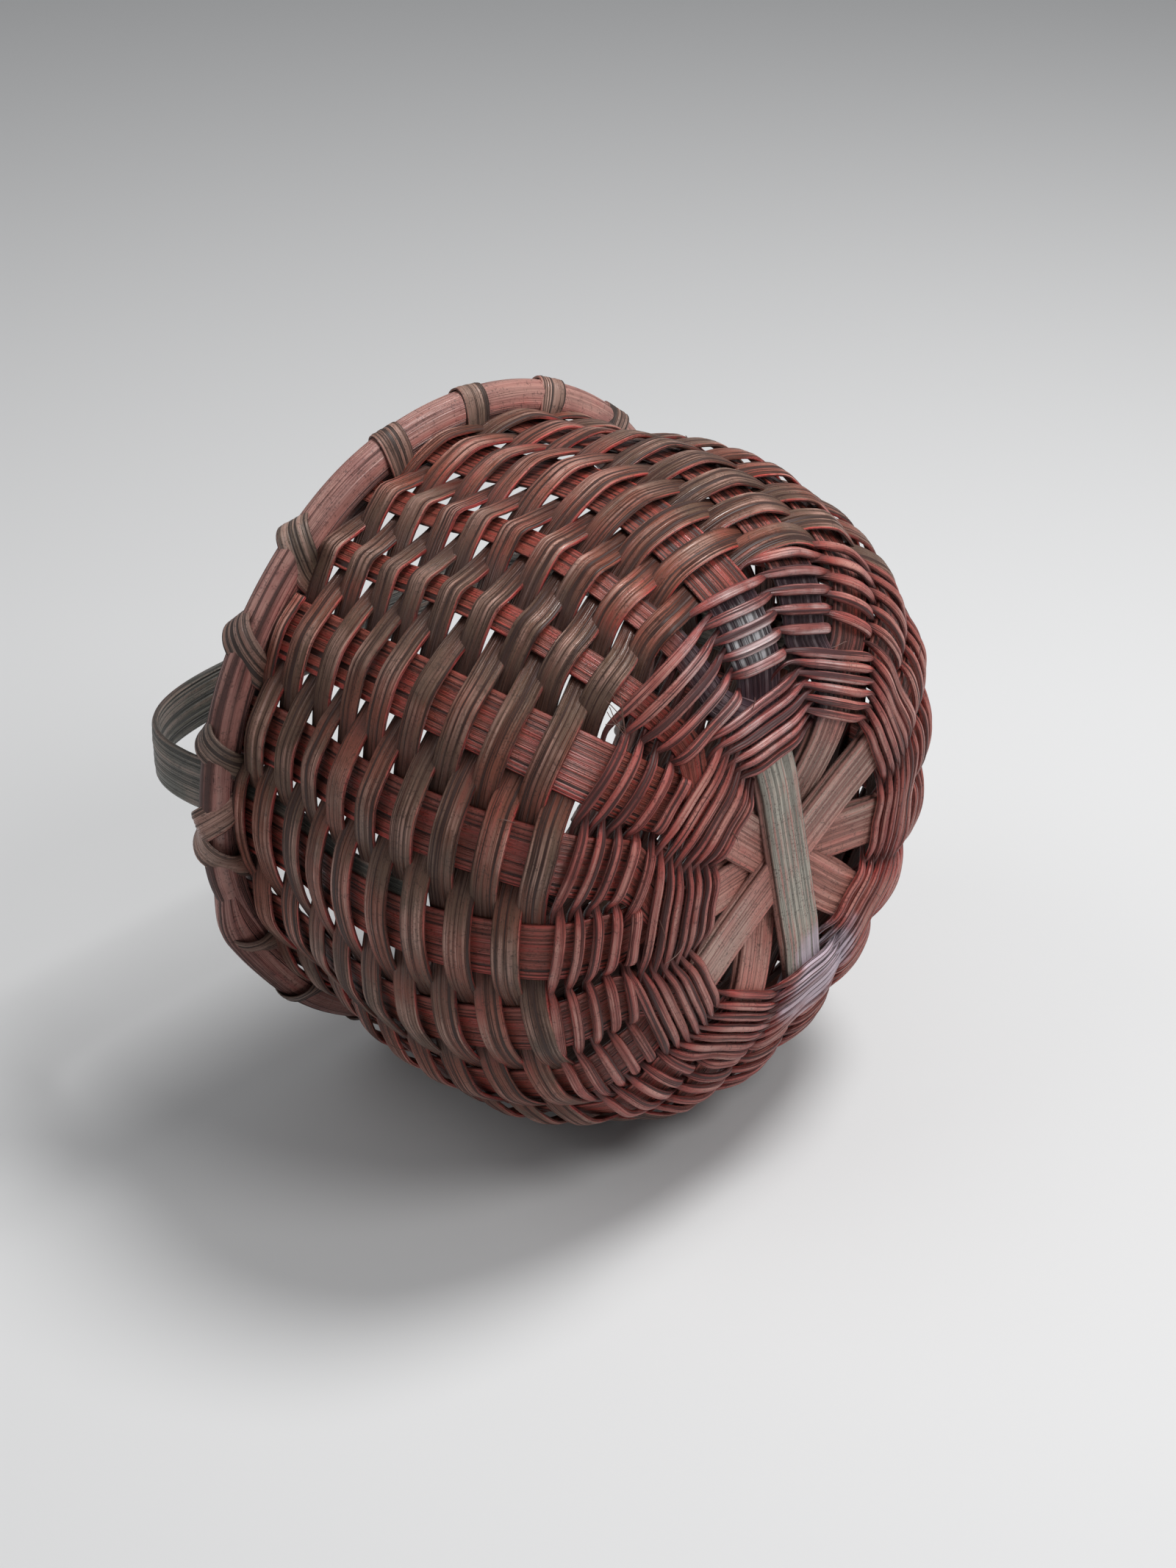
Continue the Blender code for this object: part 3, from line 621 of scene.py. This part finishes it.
def build_grain(t, given):
    """Masks of a dyed reed: fibres, grooves, broad patches, crest wear with a painted highlight, red edges,
    specks and painted shade in recesses.
    """
    strip_mark = t.add("ShaderNodeAttribute", attribute_name="strip").outputs["Vector"]
    mark = t.add("ShaderNodeSeparateXYZ", {0: strip_mark}).outputs
    crest = t.add("ShaderNodeAttribute", attribute_name="crest").outputs["Fac"]
    edge = t.add("ShaderNodeAttribute", attribute_name="edge").outputs["Fac"]
    place_on = t.add("ShaderNodeTexCoord").outputs["Object"]
    flat = t.vector("MULTIPLY", place_on, (1, 1, 0))
    height = t.add("ShaderNodeSeparateXYZ", {0: place_on}).outputs["Z"]
    radius = t.length("LENGTH", flat)

    def noise(vector, scale, detail):
        return t.add("ShaderNodeTexNoise", {"Vector": vector, "Scale": scale, "Detail": detail,
                                            "Roughness": 0.6}).outputs["Fac"]

    def streaks(factor, stretch, detail):
        vector = t.out("ShaderNodeCombineXYZ", {
            0: t.times(t.math("DIVIDE", mark["X"], given["Fibre spacing"]), factor),
            1: t.times(mark["Y"], given["Streak"], stretch),
            2: t.math("MULTIPLY_ADD", mark["Z"], 4.0, given["Seed"])})
        return noise(vector, 1.0, detail)

    def ramp(value, low, high):
        return t.out("ShaderNodeMapRange", {"Value": value, "From Min": low, "From Max": high},
                     interpolation_type="SMOOTHSTEP")

    def blur(first, share, second, other):
        return t.math("ADD", t.times(first, share), t.times(second, other))

    def near(spot, reach):
        """1 within a reach of a spot on the wall, with a ragged border."""
        away = t.length("DISTANCE", place_on, wall_point(*spot, 0.0))
        return ramp(t.math("MULTIPLY_ADD", blotch, -0.024, away), reach, reach - 0.008)

    fine, coarse, long = streaks(1.0, 1.0, 3.0), streaks(0.3, 0.5, 1.0), streaks(0.12, 0.12, 1.0)
    patch = noise(place_on, given["Patch scale"], 2.0)
    blotch = noise(t.vector("ADD", place_on, (3.7, 1.9, 0.4)), t.times(given["Patch scale"], 2.6), 3.0)
    speck = noise(place_on, SPECK_SCALE, 2.0)
    scuff = noise(place_on, SCUFF_SCALE, 3.0)
    spread = t.math("MULTIPLY_ADD", coarse, 0.9, -0.45)
    # Blotchy share of the crests' wear and of their painted highlight
    wear_and_sheen = ramp(t.math("ADD", blotch, t.times(spread, 0.6)), 0.36, 0.62)
    return {"Fibre": ramp(blur(fine, 0.6, coarse, 0.4), 0.42, 0.62),
            "Groove": ramp(blur(fine, 0.4, coarse, 0.6), 0.41, 0.50),
            "Patch": ramp(t.math("ADD", patch, t.times(spread, 0.5)), 0.44, 0.60),
            "Blotch": ramp(t.math("ADD", blur(blotch, 0.55, long, 0.45), spread), 0.50, 0.70),
            # Crests lighter by wear, with a painted highlight on them
            "Worn": t.times(ramp(crest, 0.35, 0.95), wear_and_sheen),
            "Edge": t.times(ramp(edge, -0.80, -0.97), ramp(t.math("ADD", blotch, spread), 0.40, 0.60)),
            "Speck": t.times(ramp(speck, 0.50, 0.62), ramp(scuff, 0.42, 0.60)),
            "Bare": ramp(radius, 0.046, 0.034),
            "Plum": t.times(near(PAINT_SPOT, 0.021), ramp(height, 0.0190, 0.0160)),
            "Silver": near(SILVER_SPOT, -0.002),
            # Painted shade where the strip's exposure is low, as where it passes behind stakes and posts or
            # sinks
            "Recess": ramp(crest, 0.50, 0.0),
            "Lilac": near(LILAC_SPOT, 0.006)}


def new_material(name):
    """An empty material and its tree."""
    made = bpy.data.materials.new(name)
    made.use_nodes = True
    made.node_tree.nodes.clear()
    return made, Tree(made.node_tree)


def dyed(name, slot, base, seed, bare=None):
    """A satin dyed reed: dark grooves, red streaks and edges, a grey-green wash, crests lighter by wear and
    a painted highlight, and painted shade in recesses.
    """
    red, green, wear_and_sheen, edge, fibre, streak, depth, paint = LOOKS[slot]
    made, t = new_material(name)
    tree = node_group("Dyed reed grain", "ShaderNodeTree", GRAIN_INPUTS, build_grain)
    grain = t.add("ShaderNodeGroup", node_tree=tree)
    for key, value in (("Fibre spacing", fibre), ("Streak", streak), ("Seed", seed)):
        grain.inputs[key].default_value = value
    masks = grain.outputs

    def blend(under, over, factor):
        node = t.add("ShaderNodeMix", {"Factor": factor}, data_type="RGBA")
        for key, value in ((6, under), (7, over)):
            if isinstance(value, bpy.types.NodeSocket):
                t.link(value, node.inputs[key])
            else:
                node.inputs[key].default_value = (*value[:3], 1.0)
        return node.outputs[2]

    base, red_dye, wash = (Vector(colour) for colour in (base, colours().red, colours().green))
    # Colour of the crests' wear and of their painted highlight
    wear_and_sheen_colour = base.lerp(Vector(colours().scuff), 0.62)
    ground, shade = base, base * (1 - depth)
    if bare is not None:
        ground = blend(base, bare, masks["Bare"])
        ground = blend(ground, colours().grey_spoke, t.times(masks["Bare"], masks["Patch"], 0.45))
        shade = blend(shade, Vector(bare) * 0.50, masks["Bare"])
    groove, fibres = masks["Groove"], masks["Fibre"]
    colour = blend(shade, ground, groove)
    # Each layer of colour and the masks and share that it shows by, from the dye up to the paint, painted
    # highlight and painted shade among them
    for over, factors in ((red_dye, (masks["Blotch"], groove, red)),
                          (wash, (masks["Patch"], groove, green)),
                          (red_dye * 1.4, (masks["Edge"], edge)),
                          # Crest wear and painted highlight
                          (wear_and_sheen_colour, (masks["Worn"], fibres, wear_and_sheen)),
                          (base * 0.12, (masks["Speck"], 0.55)),
                          # Painted shade: darker where a strip passes behind another or sinks into the weave
                          (base * 0.20, (masks["Recess"], 0.85)),
                          (colours().plum, (masks["Plum"], 0.9 * paint)),
                          (colours().silver, (masks["Plum"], masks["Worn"], fibres, 0.8 * paint)),
                          (colours().silver, (masks["Silver"], groove, paint)),
                          (colours().lilac, (masks["Lilac"], groove, 0.85))):
        colour = blend(colour, over, t.times(*factors))
    height = t.math("ADD", t.times(groove, 0.6), t.times(fibres, 0.4))
    bump = t.add("ShaderNodeBump", {"Height": height, "Strength": 1.0, "Distance": 0.5 * MM})
    smoothness = t.times(fibres, groove)
    rough = t.add("ShaderNodeMapRange", {"Value": smoothness, "To Min": 0.55, "To Max": 0.24})
    skin = t.add("ShaderNodeBsdfPrincipled", {"Base Color": colour, "Roughness": rough.outputs[0],
                                              "Normal": bump.outputs[0], "Specular IOR Level": 0.45})
    t.link(skin.outputs[0], t.add("ShaderNodeOutputMaterial").inputs[0])
    return made


def woven(posts, width):
    """Spine rows for a strip over posts of (azimuth, lateral, arc, depth, crest, narrowing, tilt)."""
    rows = []
    for azimuth, lateral, arc, depth, crest, narrow, tilt in posts:
        up, out = wall_up(azimuth, arc), wall_out(azimuth, arc)
        half = (up * cos(tilt) - out * sin(tilt)) * width / 2 * narrow
        face = out * cos(tilt) + up * sin(tilt)
        rows.append((wall_point(azimuth, lateral, arc, depth), half, face, crest))
    return rows


def climb(azimuth):
    """Height gained by a weaver, with the quicker stretch in each turn."""
    turns = (azimuth - CLIMB_AZIMUTH) / 360
    whole = turns // 1
    quick = whole + smooth((turns - whole) * 360 / CLIMB_SPAN)
    return 2 * sizes().weaver_pitch * mix(turns, quick, CLIMB_SHARE)


def push(azimuth, arc):
    """How far the high side of the twined foot lifts the rows above it."""
    turned = (azimuth - CLIMB_AZIMUTH) % 360 + CLIMB_AZIMUTH
    rise, fall = (smooth((turned - start) / span) for start, span in (PUSH_RISE, PUSH_FALL))
    return WEAVE_PUSH * rise * (1 - fall) * clamp((PUSH_TOP - arc) / PUSH_FADE)


def weave_posts(strip_index, first):
    """A weaver's way from its first stake up to the hoop, in front of every other stake."""
    azimuths = stake_azimuths()
    width, pitch = sizes().weaver_width, sizes().weaver_pitch
    origin = climb(azimuths[STAKES - 1])
    limit = WEAVE_TOP - width / 2
    posts = []
    for number in range(first, first + WEAVE_TURNS * STAKES):
        stake = number % STAKES
        running = azimuths[stake] + 360 * (number // STAKES)
        arc = WEAVER_START + climb(running) - origin - pitch * strip_index
        if arc > limit + pitch:
            break
        taper = 1 - TIP_TAPER * clamp((arc - limit) / pitch)
        arc = min(arc + push(running, arc) + wobble(strip_index + stake, number) * ROW_WOBBLE,
                  WEAVE_TOP - width / 2 * taper)
        edge = stake_width(stake) / 2 + EDGE_MARGIN
        strap = stake in HANDLE_STAKES and arc > STRAP_FOOT
        right = HANDLE_SHIFT + sizes().handle_width / 2 + EDGE_MARGIN if strap else edge
        lift = wobble(strip_index * 3 + stake, number * 1.3) * LIFT_WOBBLE
        middle = (right - edge) / 2 + wobble(strip_index * 5 + stake, number * 2.1) * SLIP_WOBBLE
        if (stake + strip_index) % 2 == 0:
            spots = ((-edge, EDGE_DEPTH, 0.5), (middle, CREST_DEPTH - lift, 1.0), (right, EDGE_DEPTH, 0.5))
        else:
            spots = ((middle, REED_DEPTH + (BEHIND_STRAP if strap else BEHIND_STAKE), 0.0),)
        for lateral, depth, crest in spots:
            posts.append((azimuths[stake], lateral, arc, depth, crest, taper, WEAVER_TILT))
    return posts


def ring_arc(number):
    """Height of a ring row over a spoke end."""
    first, last = RING_POSTS
    end = number % (2 * SPOKES)
    return mix(RING_FIRST[end], RING_LAST[end], (number - first) / (last - 1 - first)) * MM


def foot_arc(number):
    """Height of a foot row over a single stake."""
    post = number % (STAKES - 1)
    azimuth = stake_azimuths()[post] if post else SPLIT_AZIMUTH
    low = FOOT_TOP[0][0]
    top = float(np.interp((azimuth - low) % 360 + low, *zip(*FOOT_TOP)))
    return (top - FOOT_ROW_MM * (FOOT_ROWS - 1 - (number - FOOT_POSTS[0]) // (STAKES - 1))) * MM


def twine_posts(strand, span, stakes_of, arc_of, reach, step):
    """One of two strands that swap sides in every gap, straight and sloping over each post."""
    posts = []
    azimuths = stake_azimuths()
    for number in range(*span):
        left_stake, right_stake = stakes_of(number)
        next_stake = stakes_of(number + 1)[0]
        outside = (number + strand) % 2 == 0
        arc = arc_of(number) + wobble(strand + 7, number * 0.9) * STRAND_WOBBLE * MM
        left, right, after = (reed_azimuth(stake, arc) for stake in (left_stake, right_stake, next_stake))
        left -= 360 if left_stake > right_stake else 0
        after += 360 if next_stake < right_stake else 0
        azimuth = (left + right) / 2
        radius = outline_at(arc).x
        rise = outline_direction(arc).y
        reed_half = reed_width(right_stake, arc) / 2
        half = radians(right - left) * radius / 2 + reed_half
        gap = radians(after - right) * radius - reed_half - reed_width(next_stake, arc) / 2
        level = reach + sizes().strand_thickness / 2
        if outside:
            end = half + GAP_SHARE * gap
            pair = left_stake != right_stake and left_stake + right_stake != STAKES - 1
            fanned = smooth((arc - FAN_START) / (FAN_END - FAN_START))
            inward = (PAIR_FOLLOW * fanned if pair else SINGLE_FOLLOW) * half * half / (2 * radius) * rise
            bulge = (PAIR_BULGE if pair else SINGLE_BULGE) + STRAND_WOBBLE * wobble(strand, number * 1.9)
            tuck = REED_DEPTH + (PAIR_TUCK if pair else SINGLE_TUCK) * level
            depth = REED_DEPTH - level
            middle = (azimuth, 0.0, arc, depth - bulge * MM, 1.0, 1.0, 0.0)
            for way in (-1, 1):
                sunk = (azimuth, way * end, arc - way * step, tuck + inward, 0.0, 0.5, 0.0)
                held = (azimuth, way * half * HELD_SHARE, arc - way * step * 0.7, depth + inward, 0.6,
                        HELD_WIDTH, 0.0)
                posts += [sunk, held, middle] if way < 0 else [held, sunk]
        else:
            posts.append((azimuth, 0.0, arc, REED_DEPTH + level + BEHIND_POST, 0.0, 0.6, 0.0))
    return posts


class BASKET_OT_weavers(bpy.types.Operator):
    """Weave the two flat-oval strips that chase each other up the wall"""
    bl_idname = "basket.weavers"
    bl_label = "Wall weavers"

    def execute(self, context):
        given = sizes()
        for index, first in enumerate((STAKES - 1, 2 * STAKES - 6)):
            finish = dyed(f"weaver_reed_{index + 1}", "weaver", colours().weaver, seed=1.0 + 7 * index)
            rows = woven(weave_posts(index, first), given.weaver_width)
            strip(f"woven_weaver_{index + 1}", rows, "weaver", given.weaver_thickness, finish,
                  seed=index * 5.0, node=f"wall_weaver_{index + 1}")
        return {"FINISHED"}


class BASKET_OT_twining(bpy.types.Operator):
    """Twine the strands round the base and the foot of the wall"""
    bl_idname = "basket.twining"
    bl_label = "Twining"

    def execute(self, context):
        given = sizes()
        finish = dyed("twining_reed", "twining", colours().strand, seed=3.0)
        groups = (("base_twining", RING_POSTS, self.pair, ring_arc, RING_REACH, RING_STROKE_RISE,
                   given.ring_width),
                  ("wall_twining", FOOT_POSTS, self.single, foot_arc, FOOT_REACH, FOOT_STROKE_RISE,
                   given.strand_width))
        for label, span, stakes_of, arc_of, reach, step, width in groups:
            for strand in range(2):
                rows = woven(twine_posts(strand, span, stakes_of, arc_of, reach, step), width)
                strip(f"{label}_strand_{strand + 1}", rows, "twining", given.strand_thickness, finish,
                      seed=strand * 4.0, node=f"{label}_{strand + 1}")
        return {"FINISHED"}

    def pair(self, number):
        """The two stakes that start from a spoke's end."""
        end = number % (2 * SPOKES)
        return 2 * end, 2 * end + 1

    def single(self, number):
        """One stake, or the two narrow ones, which count as one."""
        post = number % (STAKES - 1)
        return post or STAKES - 1, post


def crossing_profile(spoke):
    """Half of a spoke pair's middle line as (distance from the centre, depth)."""
    outer = CROSSING_DEPTH + OUTER_LAYER_RISE * OUTER_LAYERS[spoke]
    inner = CROSSING_DEPTH + INNER_LAYER_RISE * INNER_LAYERS[spoke]
    return list(zip((0.0, *CROSSING_RADII), (inner, inner, mix(inner, outer, 0.4), outer)))


class BASKET_OT_reeds(bpy.types.Operator):
    """Lay the ten flat reeds that are the spokes and the stakes"""
    bl_idname = "basket.reeds"
    bl_label = "Flat reeds"

    def execute(self, context):
        red = dyed("stake_reed", "reed", colours().reed, seed=6.0, bare=colours().spoke)
        grey = dyed("grey_spoke_reed", "reed", colours().reed, seed=9.0, bare=colours().grey_spoke)
        for spoke in range(SPOKES):
            for layer, label in ((-1, "outer"), (1, "inner")):
                first = 2 * spoke + (1 if layer > 0 else 0)
                last = 2 * (spoke + SPOKES) + (0 if layer > 0 else 1)
                rows = [(spot, -half, face, crest)
                        for spot, half, face, crest in self.half_reed(spoke, layer, first, -1)[:0:-1]]
                rows += self.half_reed(spoke, layer, last, 1)
                finish = grey if spoke == 0 and layer < 0 else red
                strip(f"flat_reed_{spoke + 1}_{label}", rows, "reed", sizes().reed_thickness, finish,
                      seed=spoke * 3.0 + layer, node=f"reed_{spoke + 1}_{label}")
        return {"FINISHED"}

    def half_reed(self, spoke, layer, stake, way):
        """Spine rows of a reed from the middle of the base to the top of one stake."""
        azimuth = end_azimuth(stake // 2)
        half = tangent(azimuth) * sizes().reed_width * SPOKE_SHARE / 2
        rows = [(place(azimuth, way * layer * REED_SHIFT, x, depth + layer * REED_LEVEL), half,
                 Vector((0, 0, -1)), 0.9) for x, depth in crossing_profile(spoke)]
        top = WALL_LENGTH - STAKE_TOP_INSET
        for arc in [k * REED_STEP for k in range(-1, int(top / REED_STEP))] + [top]:
            azimuth = reed_azimuth(stake, arc)
            rows.append((wall_point(azimuth, 0.0, arc, reed_depth(stake, arc)),
                         tangent(azimuth) * reed_width(stake, arc) * spoke_share(arc) / 2,
                         wall_out(azimuth, arc), 0.5))
        return rows


class BASKET_OT_rim(bpy.types.Operator):
    """Bend the two rim hoops, the outer one with lapped ends"""
    bl_idname = "basket.rim"
    bl_label = "Rim hoops"

    def execute(self, context):
        finish = dyed("rim_reed", "rim", colours().rim, seed=12.0)
        hoops = (("outer_hoop", OUTER_HOOP_RADIUS, OUTER_HOOP_DEPTH, "outer_rim_hoop", 0.02, 5),
                 ("inner_hoop", INNER_HOOP_RADIUS, INNER_HOOP_DEPTH, "inner_rim_hoop", 1.0, 1))
        for name, radius, depth, node, back, lap in hoops:
            rows = []
            for k in range(-lap, HOOP_POSTS + 1 + lap):
                azimuth = LAP_AZIMUTH + k * HOOP_STEP
                start, end = clamp((k + lap) / (2 * lap)), clamp((HOOP_POSTS + lap - k) / (2 * lap))
                away = radius + (1 - smooth(end)) * LAP_SPREAD * depth * lap
                height = HOOP_MIDDLE + wobble(2, radians(azimuth) * 3) * HOOP_WOBBLE
                half = Vector((0, 0, HOOP_HEIGHT / 2)) * (1 - LAP_NARROWING * (1 - end))
                full = mix(LAP_THIN, 1.0, smooth(start) * smooth(end * 2))
                rows.append((place(azimuth, 0.0, away, height), half, place(azimuth, 0.0, 1.0, 0.0) * full))
            strip(name, rows, "rim", depth, finish, seed=radius, node=node, back=back)
        return {"FINISHED"}


class BASKET_OT_lashing(bpy.types.Operator):
    """Wind the strip that binds the rim hoops"""
    bl_idname = "basket.lashing"
    bl_label = "Rim lashing"

    def execute(self, context):
        half = sizes().lash_width / 2
        finish = dyed("lashing_reed", "lashing", colours().lashing, seed=15.0)
        base, top = RIM_TOP - HOOP_HEIGHT, RIM_TOP
        under, over = base - LASH_THICKNESS, top + LASH_THICKNESS
        back, inside = OUTER_HOOP_RADIUS, LASH_INSIDE
        rows = []
        for index, (azimuth, lean) in enumerate(LASHINGS):
            loop = [(inside, base + LASH_CORNER, -0.1), (inside + LASH_CORNER, under, 0.0),
                    (back - LASH_SLACK, under, 0.0)]
            for k in range(1, LASH_STEPS):
                turn = pi * k / LASH_STEPS
                loop.append((back + LASH_BULGE * sin(turn), HOOP_MIDDLE - LASH_HALF * cos(turn), turn / pi))
            loop += [(back - LASH_SLACK, over, 1.0), (inside + LASH_CORNER, over, 1.0),
                     (inside, top - LASH_CORNER, 1.1)]
            for number, (radius, height, share) in enumerate(loop):
                angle = azimuth + lean * share
                face = Vector((radius - LASH_PIVOT, 0, height - HOOP_MIDDLE)).normalized()
                outside = 2 < number < 8
                skew = Vector((0, 0, lean * half * LASH_SKEW)) if outside else Vector()
                rows.append((place(angle, 0.0, radius, height), tangent(angle) * half - skew,
                             place(angle, 0.0, face.x, face.z), 1.0 if outside else 0.3))
            if index + 1 < len(LASHINGS):
                angle = mix(azimuth + lean, LASHINGS[index + 1][0], 0.5)
                rows.append((place(angle, 0.0, inside - LASH_DIP, HOOP_MIDDLE), tangent(angle) * half,
                             place(angle, 0.0, -1.0, 0.0), 0.3))
        strip("rim_lashing_strip", rows, "lashing", LASH_THICKNESS, finish, seed=2.0, node="rim_lashing")
        return {"FINISHED"}


def build_fibre(t, given):
    """Loose fibres get their thickness."""
    curve = t.out("GeometryNodeMeshToCurve", {"Mesh": given["Geometry"]})
    ring = t.out("GeometryNodeCurvePrimitiveCircle", {"Resolution": 5, "Radius": given["Radius"]})
    tube = t.out("GeometryNodeCurveToMesh", {"Curve": curve, "Profile Curve": ring, "Fill Caps": True})
    return finished(t, tube, given["Finish"])


class BASKET_OT_fibres(bpy.types.Operator):
    """Let a few fibres stand off the reeds"""
    bl_idname = "basket.fibres"
    bl_label = "Loose fibres"

    def execute(self, context):
        spots, edges = [], []
        for number, (azimuth, arc, length, heading, lift) in enumerate(LOOSE):
            turn = radians(heading)
            up, out = wall_up(azimuth, arc * MM), wall_out(azimuth, arc * MM)
            start = wall_point(azimuth, 0.0, arc * MM, FIBRE_DEPTH)
            for step in range(FIBRE_STEPS + 1):
                share = step / FIBRE_STEPS
                bend = turn + FIBRE_BEND * wobble(number, share)
                way = tangent(azimuth) * cos(bend) + up * sin(bend)
                spots.append(start + (way * share + out * lift * share * (1.6 - share)) * length * MM)
                if step:
                    edges.append((len(spots) - 2, len(spots) - 1))
        mesh = bpy.data.meshes.new("fibre_lines")
        mesh.from_pydata(spots, edges, [])
        line = added("fibre_lines", mesh)
        finish = dyed("loose_fibre", "twining", colours().fibre, seed=21.0)
        tree = node_group("Loose fibre", "GeometryNodeTree", FIBRE_INPUTS, build_fibre)
        piece = shaped("loose_fibres", line, tree, {"Radius": FIBRE_RADIUS, "Finish": finish})
        take_place(piece, "twining")
        return {"FINISHED"}


class BASKET_OT_handle(bpy.types.Operator):
    """Bend the strap handle over the mouth"""
    bl_idname = "basket.handle"
    bl_label = "Handle"

    def execute(self, context):
        given = sizes()
        finish = dyed("handle_reed", "handle", colours().handle, seed=18.0)
        azimuths = stake_azimuths()
        tails, sides = [], []
        for stake in HANDLE_STAKES:
            arcs = [mix(HANDLE_TAIL_START, WALL_LENGTH, k / TAIL_STEPS) for k in range(TAIL_STEPS + 1)]
            tails.append([wall_point(azimuths[stake], HANDLE_SHIFT, arc, HANDLE_DEPTH) for arc in arcs])
            sides.append(tangent(azimuths[stake]) * given.handle_width / 2)
        near, far = tails[0][-1], tails[1][-1]
        middle = (near + far) / 2
        out = [place(azimuths[stake], 0.0, 1.0, 0.0) for stake in HANDLE_STAKES]
        rows = [(spot, sides[0], out[0]) for spot in tails[0]]
        for step in range(1, HANDLE_STEPS):
            turn = pi * step / HANDLE_STEPS
            reach = abs(cos(turn)) ** 0.5 * (1 if turn < pi / 2 else -1)
            rise = sin(turn) ** 0.5
            swell = 1 + HANDLE_SWELL * sin(min(rise, 1.0) * pi)
            spot = middle + (near - middle) * reach * swell + Vector((0, 0, given.handle_rise * rise))
            half = sides[0].lerp(-sides[1], step / HANDLE_STEPS).normalized() * given.handle_width / 2
            face = out[0] * reach ** 3 + Vector((0, 0, rise ** 3))
            rows.append((spot, half, face.normalized()))
        rows += [(spot, -sides[1], out[1]) for spot in tails[1][::-1]]
        strip("strap_handle", rows, "handle", HANDLE_THICKNESS, finish, seed=4.0, node="handle")
        return {"FINISHED"}


class BASKET_OT_stage(bpy.types.Operator):
    """Set the floor, the lamps, the world and the camera"""
    bl_idname = "basket.stage"
    bl_label = "Stage"

    def execute(self, context):
        scene = context.scene
        across = Vector((0, 0, 1))
        side = UP.cross(across)
        mesh = bpy.data.meshes.new("floor")
        centre = MIDDLE - UP * FLOOR_DISTANCE
        corners = [centre + (across * a + side * b) * FLOOR_HALF
                   for a, b in ((-1, -1), (1, -1), (1, 1), (-1, 1))]
        mesh.from_pydata(corners, [], [(0, 1, 2, 3)])
        floor = added("floor", mesh)
        if mesh.polygons[0].normal.dot(UP) < 0:
            mesh.flip_normals()
        mesh.materials.append(self.paper())
        elevation = radians(LOOK_ELEVATION)
        look = place(LOOK_AZIMUTH, 0.0, cos(elevation), sin(elevation))
        camera = added("camera", bpy.data.cameras.new("camera"))
        camera.data.sensor_fit = "VERTICAL"
        camera.data.sensor_height = SENSOR_HEIGHT
        camera.data.lens = LENS
        right = look.cross(UP).normalized()
        above = right.cross(look).normalized()
        spot = place(CAMERA_AZIMUTH, 0.0, CAMERA_RADIUS, CAMERA_HEIGHT)
        camera.matrix_world = Matrix.Translation(spot) @ Matrix((right, above, -look)).transposed().to_4x4()
        scene.camera = camera
        for name, (way, away, size, power) in LAMPS.items():
            lamp = added(name, bpy.data.lights.new(name, "AREA"))
            lamp.data.shape = "DISK"
            lamp.data.size = size
            lamp.data.energy = power
            lamp.data.spread = radians(LAMP_SPREAD)
            spot = (right * way[0] + UP * way[1] + look * way[2]).normalized() * away
            aim = (-spot).to_track_quat("-Z", "Y")
            lamp.matrix_world = Matrix.Translation(MIDDLE + spot) @ aim.to_matrix().to_4x4()
        world = bpy.data.worlds.new("studio")
        world.use_nodes = True
        sky = world.node_tree.nodes["Background"].inputs
        sky[0].default_value = SKY
        sky[1].default_value = SKY_STRENGTH
        scene.world = world
        scene.view_settings.view_transform = "Standard"
        return {"FINISHED"}

    def paper(self):
        made, t = new_material("floor_paper")
        skin = t.add("ShaderNodeBsdfDiffuse", {"Color": (*colours().floor, 1.0)})
        clear = t.add("ShaderNodeBsdfTransparent")
        both = t.add("ShaderNodeMixShader", {0: t.add("ShaderNodeNewGeometry").outputs["Backfacing"],
                                             1: skin.outputs[0], 2: clear.outputs[0]})
        t.link(both.outputs[0], t.add("ShaderNodeOutputMaterial").inputs[0])
        return made


class BASKET_PT_panel(bpy.types.Panel):
    bl_label = "Round splint basket"
    bl_idname = "BASKET_PT_panel"
    bl_space_type = "VIEW_3D"
    bl_region_type = "UI"
    bl_category = "Basket"

    def draw(self, context):
        for group in (context.scene.basket_sizes, context.scene.basket_colours):
            for key in group.__annotations__:
                self.layout.prop(group, key)
        for maker in MAKERS:
            self.layout.operator(maker.bl_idname)


MAKERS = (BASKET_OT_reeds, BASKET_OT_twining, BASKET_OT_weavers, BASKET_OT_rim, BASKET_OT_lashing,
          BASKET_OT_fibres, BASKET_OT_handle, BASKET_OT_stage)
CLASSES = (BasketSizes, BasketColours, *MAKERS, BASKET_PT_panel)


def register():
    for kind in CLASSES:
        bpy.utils.register_class(kind)
    bpy.types.Scene.basket_sizes = PointerProperty(type=BasketSizes)
    bpy.types.Scene.basket_colours = PointerProperty(type=BasketColours)


def unregister():
    del bpy.types.Scene.basket_sizes
    del bpy.types.Scene.basket_colours
    for kind in reversed(CLASSES):
        bpy.utils.unregister_class(kind)


def main():
    register()
    bpy.ops.basket.reeds()
    bpy.ops.basket.twining()
    bpy.ops.basket.weavers()
    bpy.ops.basket.rim()
    bpy.ops.basket.lashing()
    bpy.ops.basket.fibres()
    bpy.ops.basket.handle()
    bpy.ops.basket.stage()


if __name__ == "__main__":
    main()
